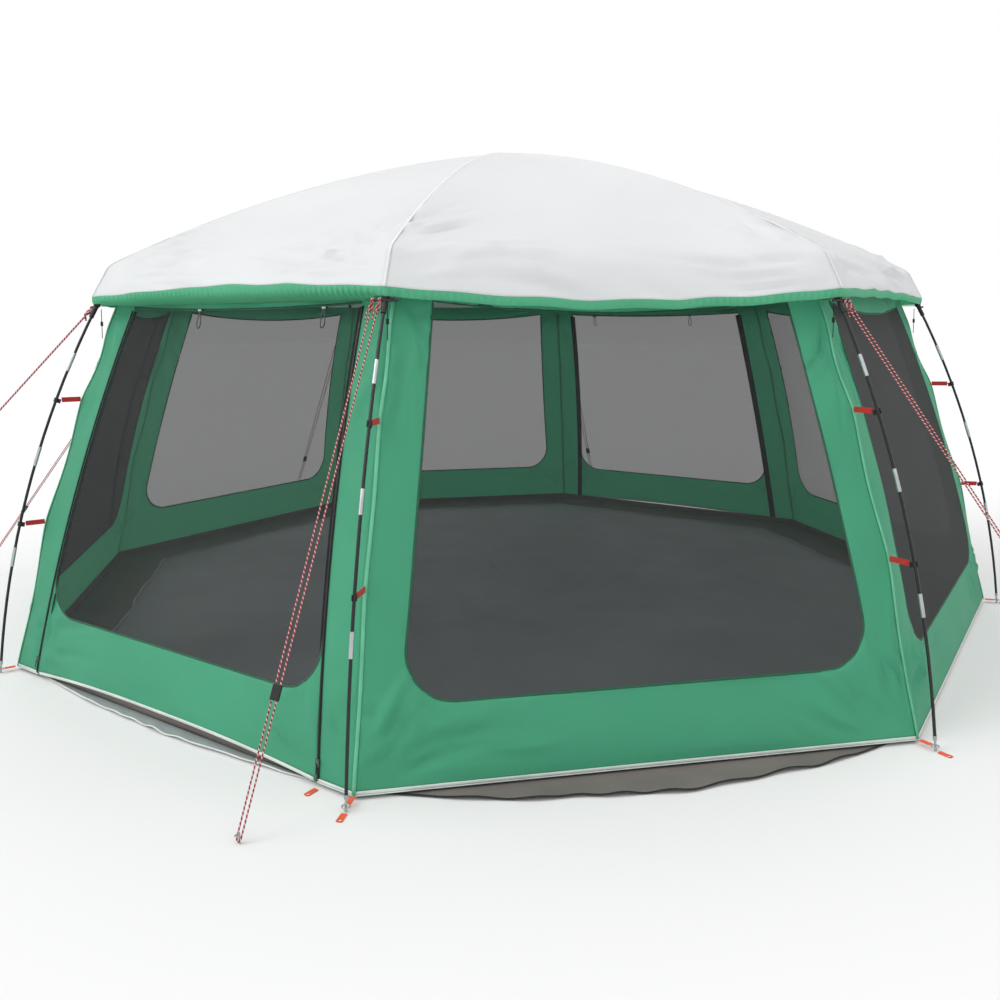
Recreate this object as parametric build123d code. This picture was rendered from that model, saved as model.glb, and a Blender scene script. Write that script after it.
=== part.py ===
"""Eight-sided screen house: curved fibreglass legs, a domed cover, mesh walls and two zipped doors.

Millimetres. The origin is on the ground at the centre of the house and +Z is up. The front
door's wall faces -Y and the rear door's wall faces +Y. Walls are built at the front and turned
about Z, and corners are built on the +X axis, where x is the distance from the centre.
"""

import os
from math import atan2, cos, degrees, hypot, pi, radians, sin, sqrt, tan

from build123d import *

# Overall shape
SIDES = 8
STEP = 360 / SIDES
HALF = radians(STEP / 2)
FLAT = cos(HALF)  # distance of a flat divided by distance of a corner
BASE_CORNER = 2500.0  # wall corner at the ground
EAVE_CORNER = 1985.0  # wall corner at the eave
EAVE_Z = 1500.0
WALL_TOP_Z = 1545.0
HEM_Z = 18.0  # lower edge of the walls
WALL_BOW = 42.0  # how far a wall bulges outwards past a straight line
FABRIC = 2.0
MESH = 1.0
SEAM_GAP = 0.5
SKIN_WIDTH = 2200.0  # wider than one wall
CUT_DEPTH = 2700.0  # from the centre line to beyond the walls

# Window in a wall, as a trapezium with round lower corners
WINDOW_TOP_Z = 1495.0
WINDOW_LOW_Z = 270.0
WINDOW_TOP_HALF = 630.0
WINDOW_LOW_HALF = 800.0
WINDOW_CORNER = 150.0
WINDOW_SAG = 40.0  # of the upper edge in its middle

# Door between two zips
DOOR_TOP_Z = 1488.0
DOOR_SAG = 15.0
ZIP_TOP_HALF = 627.0
ZIP_LOW_HALF = 800.0
DOOR_GAP = 1.0
DOOR_CUT_Z = -50.0  # lower end of the cut for the door
ZIP_SLOPE = (ZIP_LOW_HALF - ZIP_TOP_HALF) / (DOOR_TOP_Z - HEM_Z)
TRACK_WIDTH = 8.0
TRACK_HEIGHT = 2.0
TRACK_RISE = 0.4  # clearance under the track and again over it
TRACK_SIDE = 1.0  # from the edge of the opening to the track
SLIDER_LOW_Z = 75.0
SLIDER_LENGTH = 24.0
SLIDER_THICK = 5.0
SLIDER_SIDES = (-12.5, -1.5)
EAR_SIDES = (-11.5, -4.5)
EAR_THICK = 2.0
EAR_TOP = 10.0
PULL_AXIS_HEIGHT = 2.5  # of the pull's axis above the slider's back
PULL_SIDE = -7.0
PULL_SIZE = (3.0, 42.0, 3.6)
PULL_HANG = 20.0

# Ties on the doors
FRONT_TIES = (-195.0, 465.0)
REAR_TIES = (-285.0, 455.0)
TIE_DROP = 12.0  # below the top of the door
TIE_STAND = 7.0  # from the wall to the toggle's centre line
TOGGLE_R = 4.0
TOGGLE_LENGTH = 26.0
LOOP_LENGTH = 66.0
LOOP_WIDTH = 16.0
LOOP_WIRE = 3.0
LOOP_HANG = 40.0
LOOP_HALF_THICK = 1.25

# Roof cover: a short valance, a shoulder, then a shallow dome
VALANCE = (2078.0, 1519.0)
SHOULDER = (2008.0, 1664.0)
APEX_Z = 2298.0
ROOF_BOW = 85.0
SHOULDER_RADIUS = 80.0
COVER = 2.5
POLE_DEPTH = 20.0  # roof pole's centre line below the cover
POLE_START = 9.0  # from the level of the valance's edge to the roof pole's lower end
ROOF_SPAN = 2300.0  # half length of the blocks that the roof is cut from
ROOF_SKIRT = 30.0  # by which the inner block is longer, to open the roof below

# Leg poles
POLE_R = 5.5
POLE_BORE_R = 2.8
CORD_R = 1.5
LEG_TOP = (2068.0, 1490.0)
LEG_MIDDLE = (2381.0, 776.0)
LEG_FOOT = (2560.0, 5.0)
LEG_JOINTS = (0.16, 0.43, 0.71)  # share of the leg at which two sections meet
FERRULE_R = 7.0
FERRULE_LENGTH = 80.0
PIN_R = 4.0
PEG_TAB = 46.0
TAB_THICK = 3.0
EYE_R = 6.0
EYE_FROM_END = 10.0
PIN_LENGTH = 62.0
PIN_COLLAR = 14.0
TIP_R = 5.0
RING_R = 12.0
RING_WIRE_R = 2.0
RING_Z = 17.0
RING_OFFSET = 2.0  # of the ring towards the house
RING_GAP = 2.6  # from the ring's centre line to the webbing beside it

# Eave hub, straps and clips
HUB = (2060.0, 1505.0)
HUB_R = 13.0
SOCKET_R = 9.0
SOCKET_BORE_R = 6.2
GUY_BAR_R = 4.0
GUY_BAR = (2074.0, 1493.0)
GUY_BAR_HALF = 46.0
GUY_BAR_WEB = (14.0, 12.0, 10.0)
SOCKET_LENGTH = 50.0
SOCKET_OVERLAP = 8.0  # of a socket into the hub
BORE_LENGTH = 60.0
EAVE_STRAP = (14.0, 3.0)  # width and thickness
CLIP_HEIGHTS = (1120.0, 620.0)
CLIP_R = 9.0
CLIP_HEIGHT = 18.0
CLIP_CLEARANCE = 0.6
CLIP_MOUTH = (10.0, 7.0)
CLIP_TAIL = (10.0, 6.0)
CLIP_TAIL_AT = 13.0
CLIP_STRAP_GAP = 21.0  # from the leg's centre line to the end of the strap
WEBBING = 20.0
WEBBING_THICK = 2.0
TIE_CORD_TOP = (2046.0, 1487.0)
TIE_CORD_LOW_Z = 1368.0
BARREL_R = 5.0
BARREL_LENGTH = 18.0

# Crown hub
CROWN_R = 48.0
CROWN_THICK = 18.0
CROWN_SOCKET_START = 26.0
CROWN_BORE = 40.0
CROWN_EDGE = 2.5

# Floor
GROUNDSHEET_FLAT = 2292.0
FLAP_INNER_FLAT = 2010.0
FLAP_OUTER_FLAT = GROUNDSHEET_FLAT - 2
FLAP_LOW_Z, FLAP_HIGH_Z = 2.6, 4.1
FLAP_LIP = 34.0
LIP_THICK = 1.5
SHEET_THICK = 2.0
FLAP_BULGES = {0: (780.0, 115.0), 1: (860.0, 180.0)}  # wall number: half width and reach outside the wall
PIPING_R = 2.5
PIPING_Z = 15.0

# Guy ropes: corner number, horizontal run, turn away from the radial direction
ROPE_R = 2.5
ROPE_START = 5.2  # from the bar's centre line to the rope's end
ROPE_TOP_OFFSETS = (15.0, 39.0)
ROPE_FOOT_HALF = 6.5
ROPE_BEND_R = 6.2
ROPE_FOOT_Z = 8.0
PEG_R = 3.0
PEG_HEIGHT = 34.0
PEG_INSIDE_LOOP = 13.6
RUNNER_SHARE = 0.75
RUNNER_BORE_R = 3.7
RUNNER_SIZE = (28.0, 10.0, 46.0)
PEG_HOOK = 16.0
GUYS = {
    "front_left": (7, 1400.0, -10.0),
    "front_right": (0, 755.0, -18.0),
    "right": (1, 1050.0, 35.0),
    "rear_right": (3, 780.0, 16.0),
    "rear_left": (4, 760.0, -18.0),
    "left_rear": (5, 800.0, 15.0),
    "left_front": (6, 1100.0, 30.0),
}
WINDOW_WALLS = {
    "right_front_wall": 1,
    "right_wall": 2,
    "right_rear_wall": 3,
    "left_rear_wall": 5,
    "left_wall": 6,
    "left_front_wall": 7,
}


def circle_of(a, m, b):
    """Centre and radius of the circle through three points in a plane."""
    ax, ay = a
    mx, my = m
    bx, by = b
    d = 2 * (ax * (my - by) + mx * (by - ay) + bx * (ay - my))
    sa, sm, sb = ax * ax + ay * ay, mx * mx + my * my, bx * bx + by * by
    cx = (sa * (my - by) + sm * (by - ay) + sb * (ay - my)) / d
    cy = (sa * (bx - mx) + sm * (ax - bx) + sb * (mx - ax)) / d
    return (cx, cy), hypot(ax - cx, ay - cy)


def bowed(a, b, bow):
    """Middle of the arc from a to b that bulges by bow to its outer, upper side."""
    dx, dy = b[0] - a[0], b[1] - a[1]
    length = hypot(dx, dy)
    side = 1 if dy > 0 else -1
    return ((a[0] + b[0]) / 2 + side * bow * dy / length, (a[1] + b[1]) / 2 - side * bow * dx / length)


UPWARDS = (Align.CENTER, Align.CENTER, Align.MIN)
DOWNWARDS = (Align.CENTER, Align.CENTER, Align.MAX)


def at_wall(number):
    return Rot(0, 0, STEP * number)


def at_corner(number):
    return Rot(0, 0, -90 + STEP / 2 + STEP * number)


def grouped(solids):
    return Compound(children=list(solids))


def around(part):
    """The same part at all eight corners."""
    return [at_corner(n) * part for n in range(SIDES)]


# ---------------------------------------------------------------- wall surface
WALL_LOW = (BASE_CORNER * FLAT, 0.0)
WALL_HIGH = (EAVE_CORNER * FLAT, EAVE_Z)
WALL_CENTRE, WALL_RADIUS = circle_of(WALL_LOW, bowed(WALL_LOW, WALL_HIGH, WALL_BOW), WALL_HIGH)


def wall_flat(z, depth=0.0):
    """Distance of the wall's middle from the centre line at height z, depth inside its outer face."""
    radius = WALL_RADIUS - depth
    return WALL_CENTRE[0] + sqrt(radius**2 - (z - WALL_CENTRE[1]) ** 2)


def wall_corner(z):
    return wall_flat(z) / FLAT


def wall_lean(z):
    """Degrees by which the outer face leans back from upright at height z."""
    return degrees(atan2(z - WALL_CENTRE[1], wall_flat(z) - WALL_CENTRE[0]))


def wall_skin(depth, thickness, z_low, z_high):
    """Curved band across the whole front, trimmed where the neighbouring walls begin."""
    outer, inner = WALL_RADIUS - depth, WALL_RADIUS - depth - thickness
    centre = Pos(0, -WALL_CENTRE[0], WALL_CENTRE[1]) * Rot(0, 90, 0)
    ring = Cylinder(outer, SKIN_WIDTH) - Cylinder(inner, SKIN_WIDTH + 2)
    near, far = WALL_HIGH[0] - 300, WALL_LOW[0] + 100
    inset = (SEAM_GAP / 2) / FLAT
    wedge = Polygon(
        (near * tan(HALF) - inset, -near),
        (far * tan(HALF) - inset, -far),
        (inset - far * tan(HALF), -far),
        (inset - near * tan(HALF), -near),
        align=None,
    )
    prism = Pos(0, 0, z_low) * extrude(wedge, z_high - z_low, dir=(0, 0, 1))
    return (centre * ring) & prism


def outline_prism(low, top, z_low, z_top, sag=0.0, corner=0.0):
    """Prism through the front wall: half widths low and top, a sagging upper edge, round lower corners."""
    edges = Polyline((top, z_top), (low, z_low), (-low, z_low), (-top, z_top))
    upper = Line((-top, z_top), (top, z_top))
    if sag:
        upper = ThreePointArc((-top, z_top), (0, z_top - sag), (top, z_top))
    face = Plane.XZ * make_face(edges + upper)
    if corner:
        face = fillet([v for v in face.vertices() if v.Z < z_low + 1], corner)
    return extrude(face, CUT_DEPTH, dir=(0, -1, 0))


def window_prism(inset):
    low, top = WINDOW_LOW_HALF - inset, WINDOW_TOP_HALF - inset
    z_low, z_top = WINDOW_LOW_Z + inset, WINDOW_TOP_Z - inset
    return outline_prism(low, top, z_low, z_top, WINDOW_SAG, WINDOW_CORNER - inset)


def zip_half(z):
    """Distance of the zip from the middle of the door at height z."""
    return ZIP_TOP_HALF + (DOOR_TOP_Z - z) * ZIP_SLOPE


def door_prism(inset, drop=0.0):
    """Shape of the door, with its upper edge lowered by drop."""
    low, top = zip_half(DOOR_CUT_Z) - inset, zip_half(DOOR_TOP_Z) - inset
    return outline_prism(low, top, DOOR_CUT_Z, DOOR_TOP_Z - inset - drop, DOOR_SAG)


def door_window_prism(inset):
    """Mesh area of the door: as wide as the door, with round lower corners."""
    low, top = zip_half(WINDOW_LOW_Z) - inset, zip_half(DOOR_TOP_Z) - inset
    return outline_prism(low, top, WINDOW_LOW_Z + inset, DOOR_TOP_Z + DOOR_SAG, corner=WINDOW_CORNER - inset)


def window_wall():
    return wall_skin(0, FABRIC, HEM_Z, WALL_TOP_Z) - window_prism(0)


def window_mesh():
    return wall_skin((FABRIC - MESH) / 2, MESH, HEM_Z, WALL_TOP_Z) & window_prism(SEAM_GAP)


def door_wall():
    return wall_skin(0, FABRIC, HEM_Z, WALL_TOP_Z) - door_prism(-DOOR_GAP / 2)


def door_hem():
    panel = wall_skin(0, FABRIC, HEM_Z, DOOR_TOP_Z) & door_prism(DOOR_GAP / 2)
    return panel - door_window_prism(0)


def door_mesh():
    skin = wall_skin((FABRIC - MESH) / 2, MESH, HEM_Z, DOOR_TOP_Z)
    return skin & door_prism(DOOR_GAP / 2, DOOR_GAP) & door_window_prism(SEAM_GAP)


def piping(x_low, x_high):
    """Round piping under a hem, from x_low to x_high across the front."""
    rod = Rot(0, 90, 0) * Cylinder(PIPING_R, x_high - x_low)
    return Pos((x_low + x_high) / 2, PIPING_R - wall_flat(PIPING_Z), PIPING_Z) * rod


# ---------------------------------------------------------------- zips and ties
ZIP_STRETCH = sqrt(1 + ZIP_SLOPE**2)


def zip_plane_point(z):
    """Distance from the centre line and height along the zip, in the zip's own tilted plane."""
    return wall_flat(z), (z - SLIDER_LOW_Z) * ZIP_STRETCH


ZIP_CENTRE, ZIP_RADIUS = circle_of(
    zip_plane_point(HEM_Z), zip_plane_point((HEM_Z + DOOR_TOP_Z) / 2), zip_plane_point(DOOR_TOP_Z)
)
ZIP_ORIGIN = (zip_half(SLIDER_LOW_Z), 0.0, SLIDER_LOW_Z)


def zip_frame():
    """Frame of the right-hand zip: local X outwards, Y up along the zip, Z away from the door."""
    away = Vector(1, 0, ZIP_SLOPE) * (1 / ZIP_STRETCH)
    return Plane(origin=ZIP_ORIGIN, x_dir=(0, -1, 0), z_dir=away * -1)


def zip_angle(z):
    """Angle in degrees, seen from the zip's arc centre, of the point at height z."""
    flat, along = zip_plane_point(z)
    return degrees(atan2(along - ZIP_CENTRE[1], flat - ZIP_CENTRE[0]))


def arc_block(inner, outer, angle_low, angle_high, z_near, z_far):
    """Block between two radii and two angles about the zip's arc centre."""
    points = []
    for radius, angles in ((inner, (angle_low, angle_high)), (outer, (angle_high, angle_low))):
        middle = radians(sum(angles) / 2)
        ends = [radians(a) for a in angles]
        points.append([(radius * cos(a), radius * sin(a)) for a in (ends[0], middle, ends[1])])
    low, high = points
    edges = ThreePointArc(*low) + Line(low[2], high[0]) + ThreePointArc(*high) + Line(high[2], low[0])
    face = Pos(*ZIP_CENTRE) * make_face(edges)
    return Pos(0, 0, z_near) * extrude(face, z_far - z_near, dir=(0, 0, 1))


def mirrored(part):
    return part.mirror(Plane.YZ)


def zip_track():
    low, high = zip_angle(HEM_Z + 4), zip_angle(DOOR_TOP_Z - 10)
    far = -(DOOR_GAP / 2 + TRACK_SIDE)
    floor = ZIP_RADIUS + TRACK_RISE
    block = arc_block(floor, floor + TRACK_HEIGHT, low, high, far - TRACK_WIDTH, far)
    return zip_frame() * block


SLIDER_FLOOR = ZIP_RADIUS + TRACK_HEIGHT + 2 * TRACK_RISE
SLIDER_BACK = SLIDER_FLOOR + SLIDER_THICK


def zip_slider():
    """Slider body with a small bridge for its pull, at the bottom of the right-hand zip."""
    spread = degrees(SLIDER_LENGTH / 2 / ZIP_RADIUS)
    low, high = zip_angle(SLIDER_LOW_Z) - spread, zip_angle(SLIDER_LOW_Z) + spread
    body = arc_block(SLIDER_FLOOR, SLIDER_BACK, low, high, *SLIDER_SIDES)
    ears = [
        arc_block(SLIDER_BACK, SLIDER_FLOOR + EAR_TOP, low + spread, high, z, z + EAR_THICK)
        for z in EAR_SIDES
    ]
    return zip_frame() * (body + ears)


PULL_REACH = SLIDER_BACK + PULL_AXIS_HEIGHT
PULL_ANGLE = radians(zip_angle(SLIDER_LOW_Z) + 0.05)
PULL_PIVOT = (
    ZIP_CENTRE[0] + PULL_REACH * cos(PULL_ANGLE),
    ZIP_CENTRE[1] + PULL_REACH * sin(PULL_ANGLE),
)


def zip_pull():
    """Cord pull that hangs between the slider's ears."""
    px, py = PULL_PIVOT
    tab = Pos(0, -PULL_HANG, 0) * fillet(Box(*PULL_SIZE).edges(), PULL_SIZE[0] * 0.4)
    return zip_frame() * Pos(px, py, PULL_SIDE) * Rot(0, 0, zip_angle(SLIDER_LOW_Z)) * tab


TIE_Z = DOOR_TOP_Z - TIE_DROP


def tie_pivot():
    return wall_flat(TIE_Z) + TIE_STAND, TIE_Z


def door_tie(x):
    """Toggle and loop that lie on the door's top edge at distance x from its middle."""
    flat, z = tie_pivot()
    toggle = Rot(0, 90, 0) * Cylinder(TOGGLE_R, TOGGLE_LENGTH)
    hole = SlotOverall(LOOP_LENGTH - 2 * LOOP_WIRE, LOOP_WIDTH - 2 * LOOP_WIRE, rotation=90)
    loop = SlotOverall(LOOP_LENGTH, LOOP_WIDTH, rotation=90) - hole
    hanging = Pos(0, 0, -LOOP_HANG) * (Plane.XZ * extrude(loop, LOOP_HALF_THICK, both=True))
    lean = Rot(-wall_lean(TIE_Z - LOOP_HANG), 0, 0)
    return Pos(x, -flat, z) * (lean * grouped([toggle, hanging]))


# ---------------------------------------------------------------- roof
def roof_curve(stretch, inset, skirt=0.0):
    """Points of the roof line: valance, round shoulder, dome. Each is (distance, height).

    stretch turns corner distances into the wanted plane's distances, inset moves the line
    inwards, and skirt lengthens the valance downwards.
    """
    valance = (VALANCE[0] * stretch, VALANCE[1])
    shoulder = (SHOULDER[0] * stretch, SHOULDER[1])
    apex = (0.0, APEX_Z)
    centre, radius = circle_of(shoulder, bowed(shoulder, apex, ROOF_BOW), apex)
    dome = radius - inset
    dx, dz = shoulder[0] - valance[0], shoulder[1] - valance[1]
    length = hypot(dx, dz)
    ux, uz = dx / length, dz / length
    nx, nz = -uz, ux  # towards the centre line
    if nx > 0:
        nx, nz = -nx, -nz
    start = (valance[0] + inset * nx - skirt * ux, valance[1] + inset * nz - skirt * uz)
    bend = SHOULDER_RADIUS - inset
    # The bend's centre is bend away from the valance line and dome - bend from the dome's centre.
    ax, az = start[0] + bend * nx - centre[0], start[1] + bend * nz - centre[1]
    half_b = ax * ux + az * uz
    c = ax * ax + az * az - (dome - bend) ** 2
    along = -half_b + sqrt(half_b**2 - c)
    knee = (start[0] + along * ux + bend * nx, start[1] + along * uz + bend * nz)
    first = (start[0] + along * ux, start[1] + along * uz)
    kx, kz = knee[0] - centre[0], knee[1] - centre[1]
    reach = hypot(kx, kz)
    second = (centre[0] + kx / reach * dome, centre[1] + kz / reach * dome)
    low_angle = atan2(first[1] - knee[1], first[0] - knee[0])
    high_angle = atan2(second[1] - knee[1], second[0] - knee[0])
    middle = (low_angle + high_angle) / 2
    knee_middle = (knee[0] + bend * cos(middle), knee[1] + bend * sin(middle))
    return start, first, knee_middle, second, centre, dome


def on_circle(centre, radius, distance):
    """Upper point of a circle at the given distance from the centre line."""
    return distance, centre[1] + sqrt(radius**2 - (distance - centre[0]) ** 2)


def roof_block(inset, skirt):
    """Solid under the roof line: eight equal gores that meet in vertical planes at the corners."""
    start, first, knee, second, centre, dome = roof_curve(FLAT, inset, skirt)
    middle = on_circle(centre, dome, second[0] / 2)
    top = on_circle(centre, dome, 0.0)
    right = (
        Line(start, first) + ThreePointArc(first, knee, second) + ThreePointArc(second, middle, top)
    )
    left = mirror(right, about=Plane.YZ)
    edges = right.edges() + left.edges() + [Line(start, (-start[0], start[1])).edge()]
    face = Plane.XZ * make_face(edges)
    slab = extrude(face, ROOF_SPAN, both=True)
    block = slab
    for turn in range(1, SIDES // 2):
        block = block & (Rot(0, 0, STEP * turn) * slab)
    return block


def roof_cover():
    return roof_block(0, 0) - roof_block(COVER, ROOF_SKIRT)


def crown_angle(distance):
    """Slope of the roof pole in degrees at a distance from the centre line."""
    centre, dome = roof_curve(1.0, POLE_DEPTH)[4:]
    return degrees(atan2(distance - centre[0], sqrt(dome**2 - (distance - centre[0]) ** 2)))


def roof_pole():
    start, first, knee, second, centre, dome = roof_curve(1.0, POLE_DEPTH, -POLE_START)
    end = on_circle(centre, dome, CROWN_SOCKET_START + 1)
    middle = on_circle(centre, dome, (second[0] + end[0]) / 2)
    path = Plane.XZ * (
        Line(start, first) + ThreePointArc(first, knee, second) + ThreePointArc(second, middle, end)
    )
    direction = Vector(first[0] - start[0], 0, first[1] - start[1])
    section = Plane(origin=(start[0], 0, start[1]), z_dir=direction)
    outer = sweep(section * Circle(POLE_R), path=path)
    bore = sweep(section * Circle(POLE_BORE_R), path=path)
    cord = sweep(section * Circle(CORD_R), path=path)
    return outer - bore, cord


def crown_hub():
    centre, dome = roof_curve(1.0, POLE_DEPTH)[4:]
    mouth = on_circle(centre, dome, CROWN_R)
    body = Pos(0, 0, mouth[1]) * Cylinder(CROWN_R, CROWN_THICK)
    body = fillet(body.edges(), CROWN_EDGE)
    start = on_circle(centre, dome, CROWN_SOCKET_START)
    slope = crown_angle((CROWN_R + CROWN_SOCKET_START) / 2)
    drill = Rot(0, 90 + slope, 0) * Cylinder(SOCKET_BORE_R, CROWN_BORE, align=UPWARDS)
    drill = Pos(start[0], 0, start[1]) * drill
    return body - around(drill)


# ---------------------------------------------------------------- legs
LEG_CENTRE, LEG_RADIUS = circle_of(LEG_TOP, LEG_MIDDLE, LEG_FOOT)
LEG_TOP_ANGLE = degrees(atan2(LEG_TOP[1] - LEG_CENTRE[1], LEG_TOP[0] - LEG_CENTRE[0]))
LEG_FOOT_ANGLE = degrees(atan2(LEG_FOOT[1] - LEG_CENTRE[1], LEG_FOOT[0] - LEG_CENTRE[0]))
LEG_END_ANGLE = LEG_FOOT_ANGLE + degrees((PIN_LENGTH - PIN_COLLAR) / LEG_RADIUS)


def leg_angle(share):
    return LEG_TOP_ANGLE + (LEG_END_ANGLE - LEG_TOP_ANGLE) * share


def leg_point(angle):
    a = radians(angle)
    return LEG_CENTRE[0] + LEG_RADIUS * cos(a), LEG_CENTRE[1] + LEG_RADIUS * sin(a)


def leg_angle_at(z):
    return degrees(atan2(z - LEG_CENTRE[1], sqrt(LEG_RADIUS**2 - (z - LEG_CENTRE[1]) ** 2)))


def bent_rod(angle_high, angle_low, outer, inner=0.0):
    """Round rod or tube along the leg's curve between two angles about its centre."""
    x, z = leg_point(angle_low)
    tilt = Pos(x, 0, z) * Rot(0, -angle_low, 0)
    section = tilt * Circle(outer)
    if inner:
        section = tilt * (Circle(outer) - Circle(inner))
    axis = Axis((LEG_CENTRE[0], 0, LEG_CENTRE[1]), (0, -1, 0))
    return revolve(section, axis, angle_high - angle_low)


def leg_sections():
    gap = degrees(0.5 / LEG_RADIUS)
    cuts = [leg_angle(share) for share in (0.0, *LEG_JOINTS, 1.0)]
    return [
        bent_rod(high - gap, low + gap, POLE_R, POLE_BORE_R) for high, low in zip(cuts[:-1], cuts[1:])
    ]


def leg_ferrules():
    half = degrees(FERRULE_LENGTH / 2 / LEG_RADIUS)
    return [
        bent_rod(leg_angle(s) + half, leg_angle(s) - half, FERRULE_R, POLE_R + 0.05)
        for s in LEG_JOINTS
    ]


def foot_pin():
    """Steel pin with a collar against the pole's end, a stem and a round tip on the ground."""
    x, z = leg_point(LEG_END_ANGLE)
    collar = Cylinder(POLE_R + 1, PIN_COLLAR, align=DOWNWARDS)
    stem = Cylinder(PIN_R, PIN_LENGTH - PIN_COLLAR, align=DOWNWARDS)
    leaning = Pos(x, 0, z) * Rot(0, -LEG_END_ANGLE, 0) * (collar + stem)
    tip = Pos(LEG_FOOT[0], 0, TIP_R) * Sphere(TIP_R)
    above_ground = Pos(x, 0, PIN_LENGTH) * Box(*[2 * PIN_LENGTH] * 3)
    return (leaning + tip) & above_ground


RING_AT = LEG_FOOT[0] - RING_OFFSET


def pin_ring():
    return Pos(RING_AT, 0, RING_Z) * Torus(RING_R, RING_WIRE_R)


def corner_strap():
    """Webbing from the wall's lower corner to the ring on the foot pin."""
    start = wall_corner(HEM_Z) + 8
    end = RING_AT - RING_R - RING_GAP
    return Pos((start + end) / 2, 0, RING_Z) * Box(end - start, WEBBING, WEBBING_THICK)


def eyelet_strap(length):
    """Flat webbing tab with a round eye near its outer end, for a peg."""
    tab = fillet(Box(length, WEBBING, TAB_THICK).edges().filter_by(Axis.Z), 4)
    return tab - Pos(length / 2 - EYE_FROM_END, 0, 0) * Cylinder(EYE_R, 10)


def peg_loop():
    """Webbing tab that lies on the ground, outside the ring on the foot pin."""
    start = RING_AT + RING_R + RING_GAP
    return Pos(start + PEG_TAB / 2, 0, TAB_THICK / 2) * eyelet_strap(PEG_TAB)


def door_peg_loop(x):
    """Peg tab below a zip of the front wall at distance x from the middle."""
    start = wall_flat(0) + 10
    return Pos(x, -start - PEG_TAB / 2, TAB_THICK / 2) * Rot(0, 0, -90) * eyelet_strap(PEG_TAB)


# ---------------------------------------------------------------- eave hubs, clips
def eave_hub():
    """Moulded hub: a socket for the leg, a socket for the roof pole and a bar for the guy rope."""
    leg_place = Pos(LEG_TOP[0], 0, LEG_TOP[1]) * Rot(0, -LEG_TOP_ANGLE, 0)
    leg_socket = Pos(0, 0, SOCKET_OVERLAP) * Cylinder(SOCKET_R, SOCKET_LENGTH, align=DOWNWARDS)
    leg_socket = leg_place * leg_socket
    leg_bore = leg_place * Cylinder(SOCKET_BORE_R, BORE_LENGTH, align=DOWNWARDS)
    start, first = roof_curve(1.0, POLE_DEPTH, -POLE_START)[:2]
    roof_lean = degrees(atan2(first[0] - start[0], first[1] - start[1]))
    roof_place = Pos(start[0], 0, start[1]) * Rot(0, roof_lean, 0)
    roof_socket = Pos(0, 0, -SOCKET_OVERLAP) * Cylinder(SOCKET_R, SOCKET_LENGTH, align=UPWARDS)
    roof_socket = roof_place * roof_socket
    roof_bore = roof_place * Cylinder(SOCKET_BORE_R, BORE_LENGTH, align=UPWARDS)
    ball = Pos(HUB[0], 0, HUB[1]) * Sphere(HUB_R)
    bar = Pos(GUY_BAR[0], 0, GUY_BAR[1]) * Rot(90, 0, 0) * Cylinder(GUY_BAR_R, 2 * GUY_BAR_HALF)
    web = Pos((HUB[0] + GUY_BAR[0]) / 2, 0, (HUB[1] + GUY_BAR[1]) / 2) * Box(*GUY_BAR_WEB)
    return ball + leg_socket + roof_socket + bar + web - leg_bore - roof_bore


def eave_strap():
    start, end = wall_corner(EAVE_Z) + 3, HUB[0] - HUB_R - 1
    return Pos((start + end) / 2, 0, EAVE_Z) * Box(end - start, *EAVE_STRAP)


def corner_tie():
    """Elastic tie from the hub down to the wall's corner, with a small barrel on it."""
    low = (wall_corner(TIE_CORD_LOW_Z) + 5, TIE_CORD_LOW_Z)
    dx, dz = low[0] - TIE_CORD_TOP[0], low[1] - TIE_CORD_TOP[1]
    length = hypot(dx, dz)
    place = Pos((low[0] + TIE_CORD_TOP[0]) / 2, 0, (low[1] + TIE_CORD_TOP[1]) / 2)
    tilt = Rot(0, degrees(atan2(dx, dz)), 0)
    cord = place * tilt * Cylinder(CORD_R, length)
    barrel = place * tilt * (Cylinder(BARREL_R, BARREL_LENGTH) - Cylinder(CORD_R + 0.3, BARREL_LENGTH + 2))
    return [cord, barrel]


def clip_hook(z):
    """C-shaped hook that snaps over the leg, with its mouth facing outwards."""
    angle = leg_angle_at(z)
    x, _ = leg_point(angle)
    tall = CLIP_HEIGHT + 2
    tube = Cylinder(CLIP_R, CLIP_HEIGHT) - Cylinder(POLE_R + CLIP_CLEARANCE, tall)
    tube = tube - Pos(CLIP_R - 1, 0, 0) * Box(*CLIP_MOUTH, tall)
    tail = Pos(-CLIP_TAIL_AT, 0, 0) * Box(*CLIP_TAIL, CLIP_HEIGHT)
    tail = tail - Cylinder(CLIP_R - 0.5, tall)
    return Pos(x, 0, z) * Rot(0, -angle, 0) * (tube + tail)


def clip_strap(z):
    x, _ = leg_point(leg_angle_at(z))
    start, end = wall_corner(z) + 4, x - CLIP_STRAP_GAP
    return Pos((start + end) / 2, 0, z) * Box(end - start, WEBBING_THICK, WEBBING)


# ---------------------------------------------------------------- floor
def octagon(flat_distance, z_low, z_high):
    face = RegularPolygon(flat_distance / FLAT, SIDES, rotation=STEP / 2)
    return Pos(0, 0, z_low) * extrude(face, z_high - z_low, dir=(0, 0, 1))


def groundsheet():
    return octagon(GROUNDSHEET_FLAT, 0, SHEET_THICK)


def flap_bulge(half_width, reach):
    """Part of the mud flap pushed out under the front wall, from its lip to a shallow arc."""
    near = 1 - FLAP_OUTER_FLAT
    left, right, middle = (-half_width, near), (half_width, near), (0, near - reach)
    face = make_face(Line(left, right) + ThreePointArc(right, middle, left))
    return Pos(0, 0, FLAP_LOW_Z) * extrude(face, FLAP_HIGH_Z - FLAP_LOW_Z, dir=(0, 0, 1))


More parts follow.
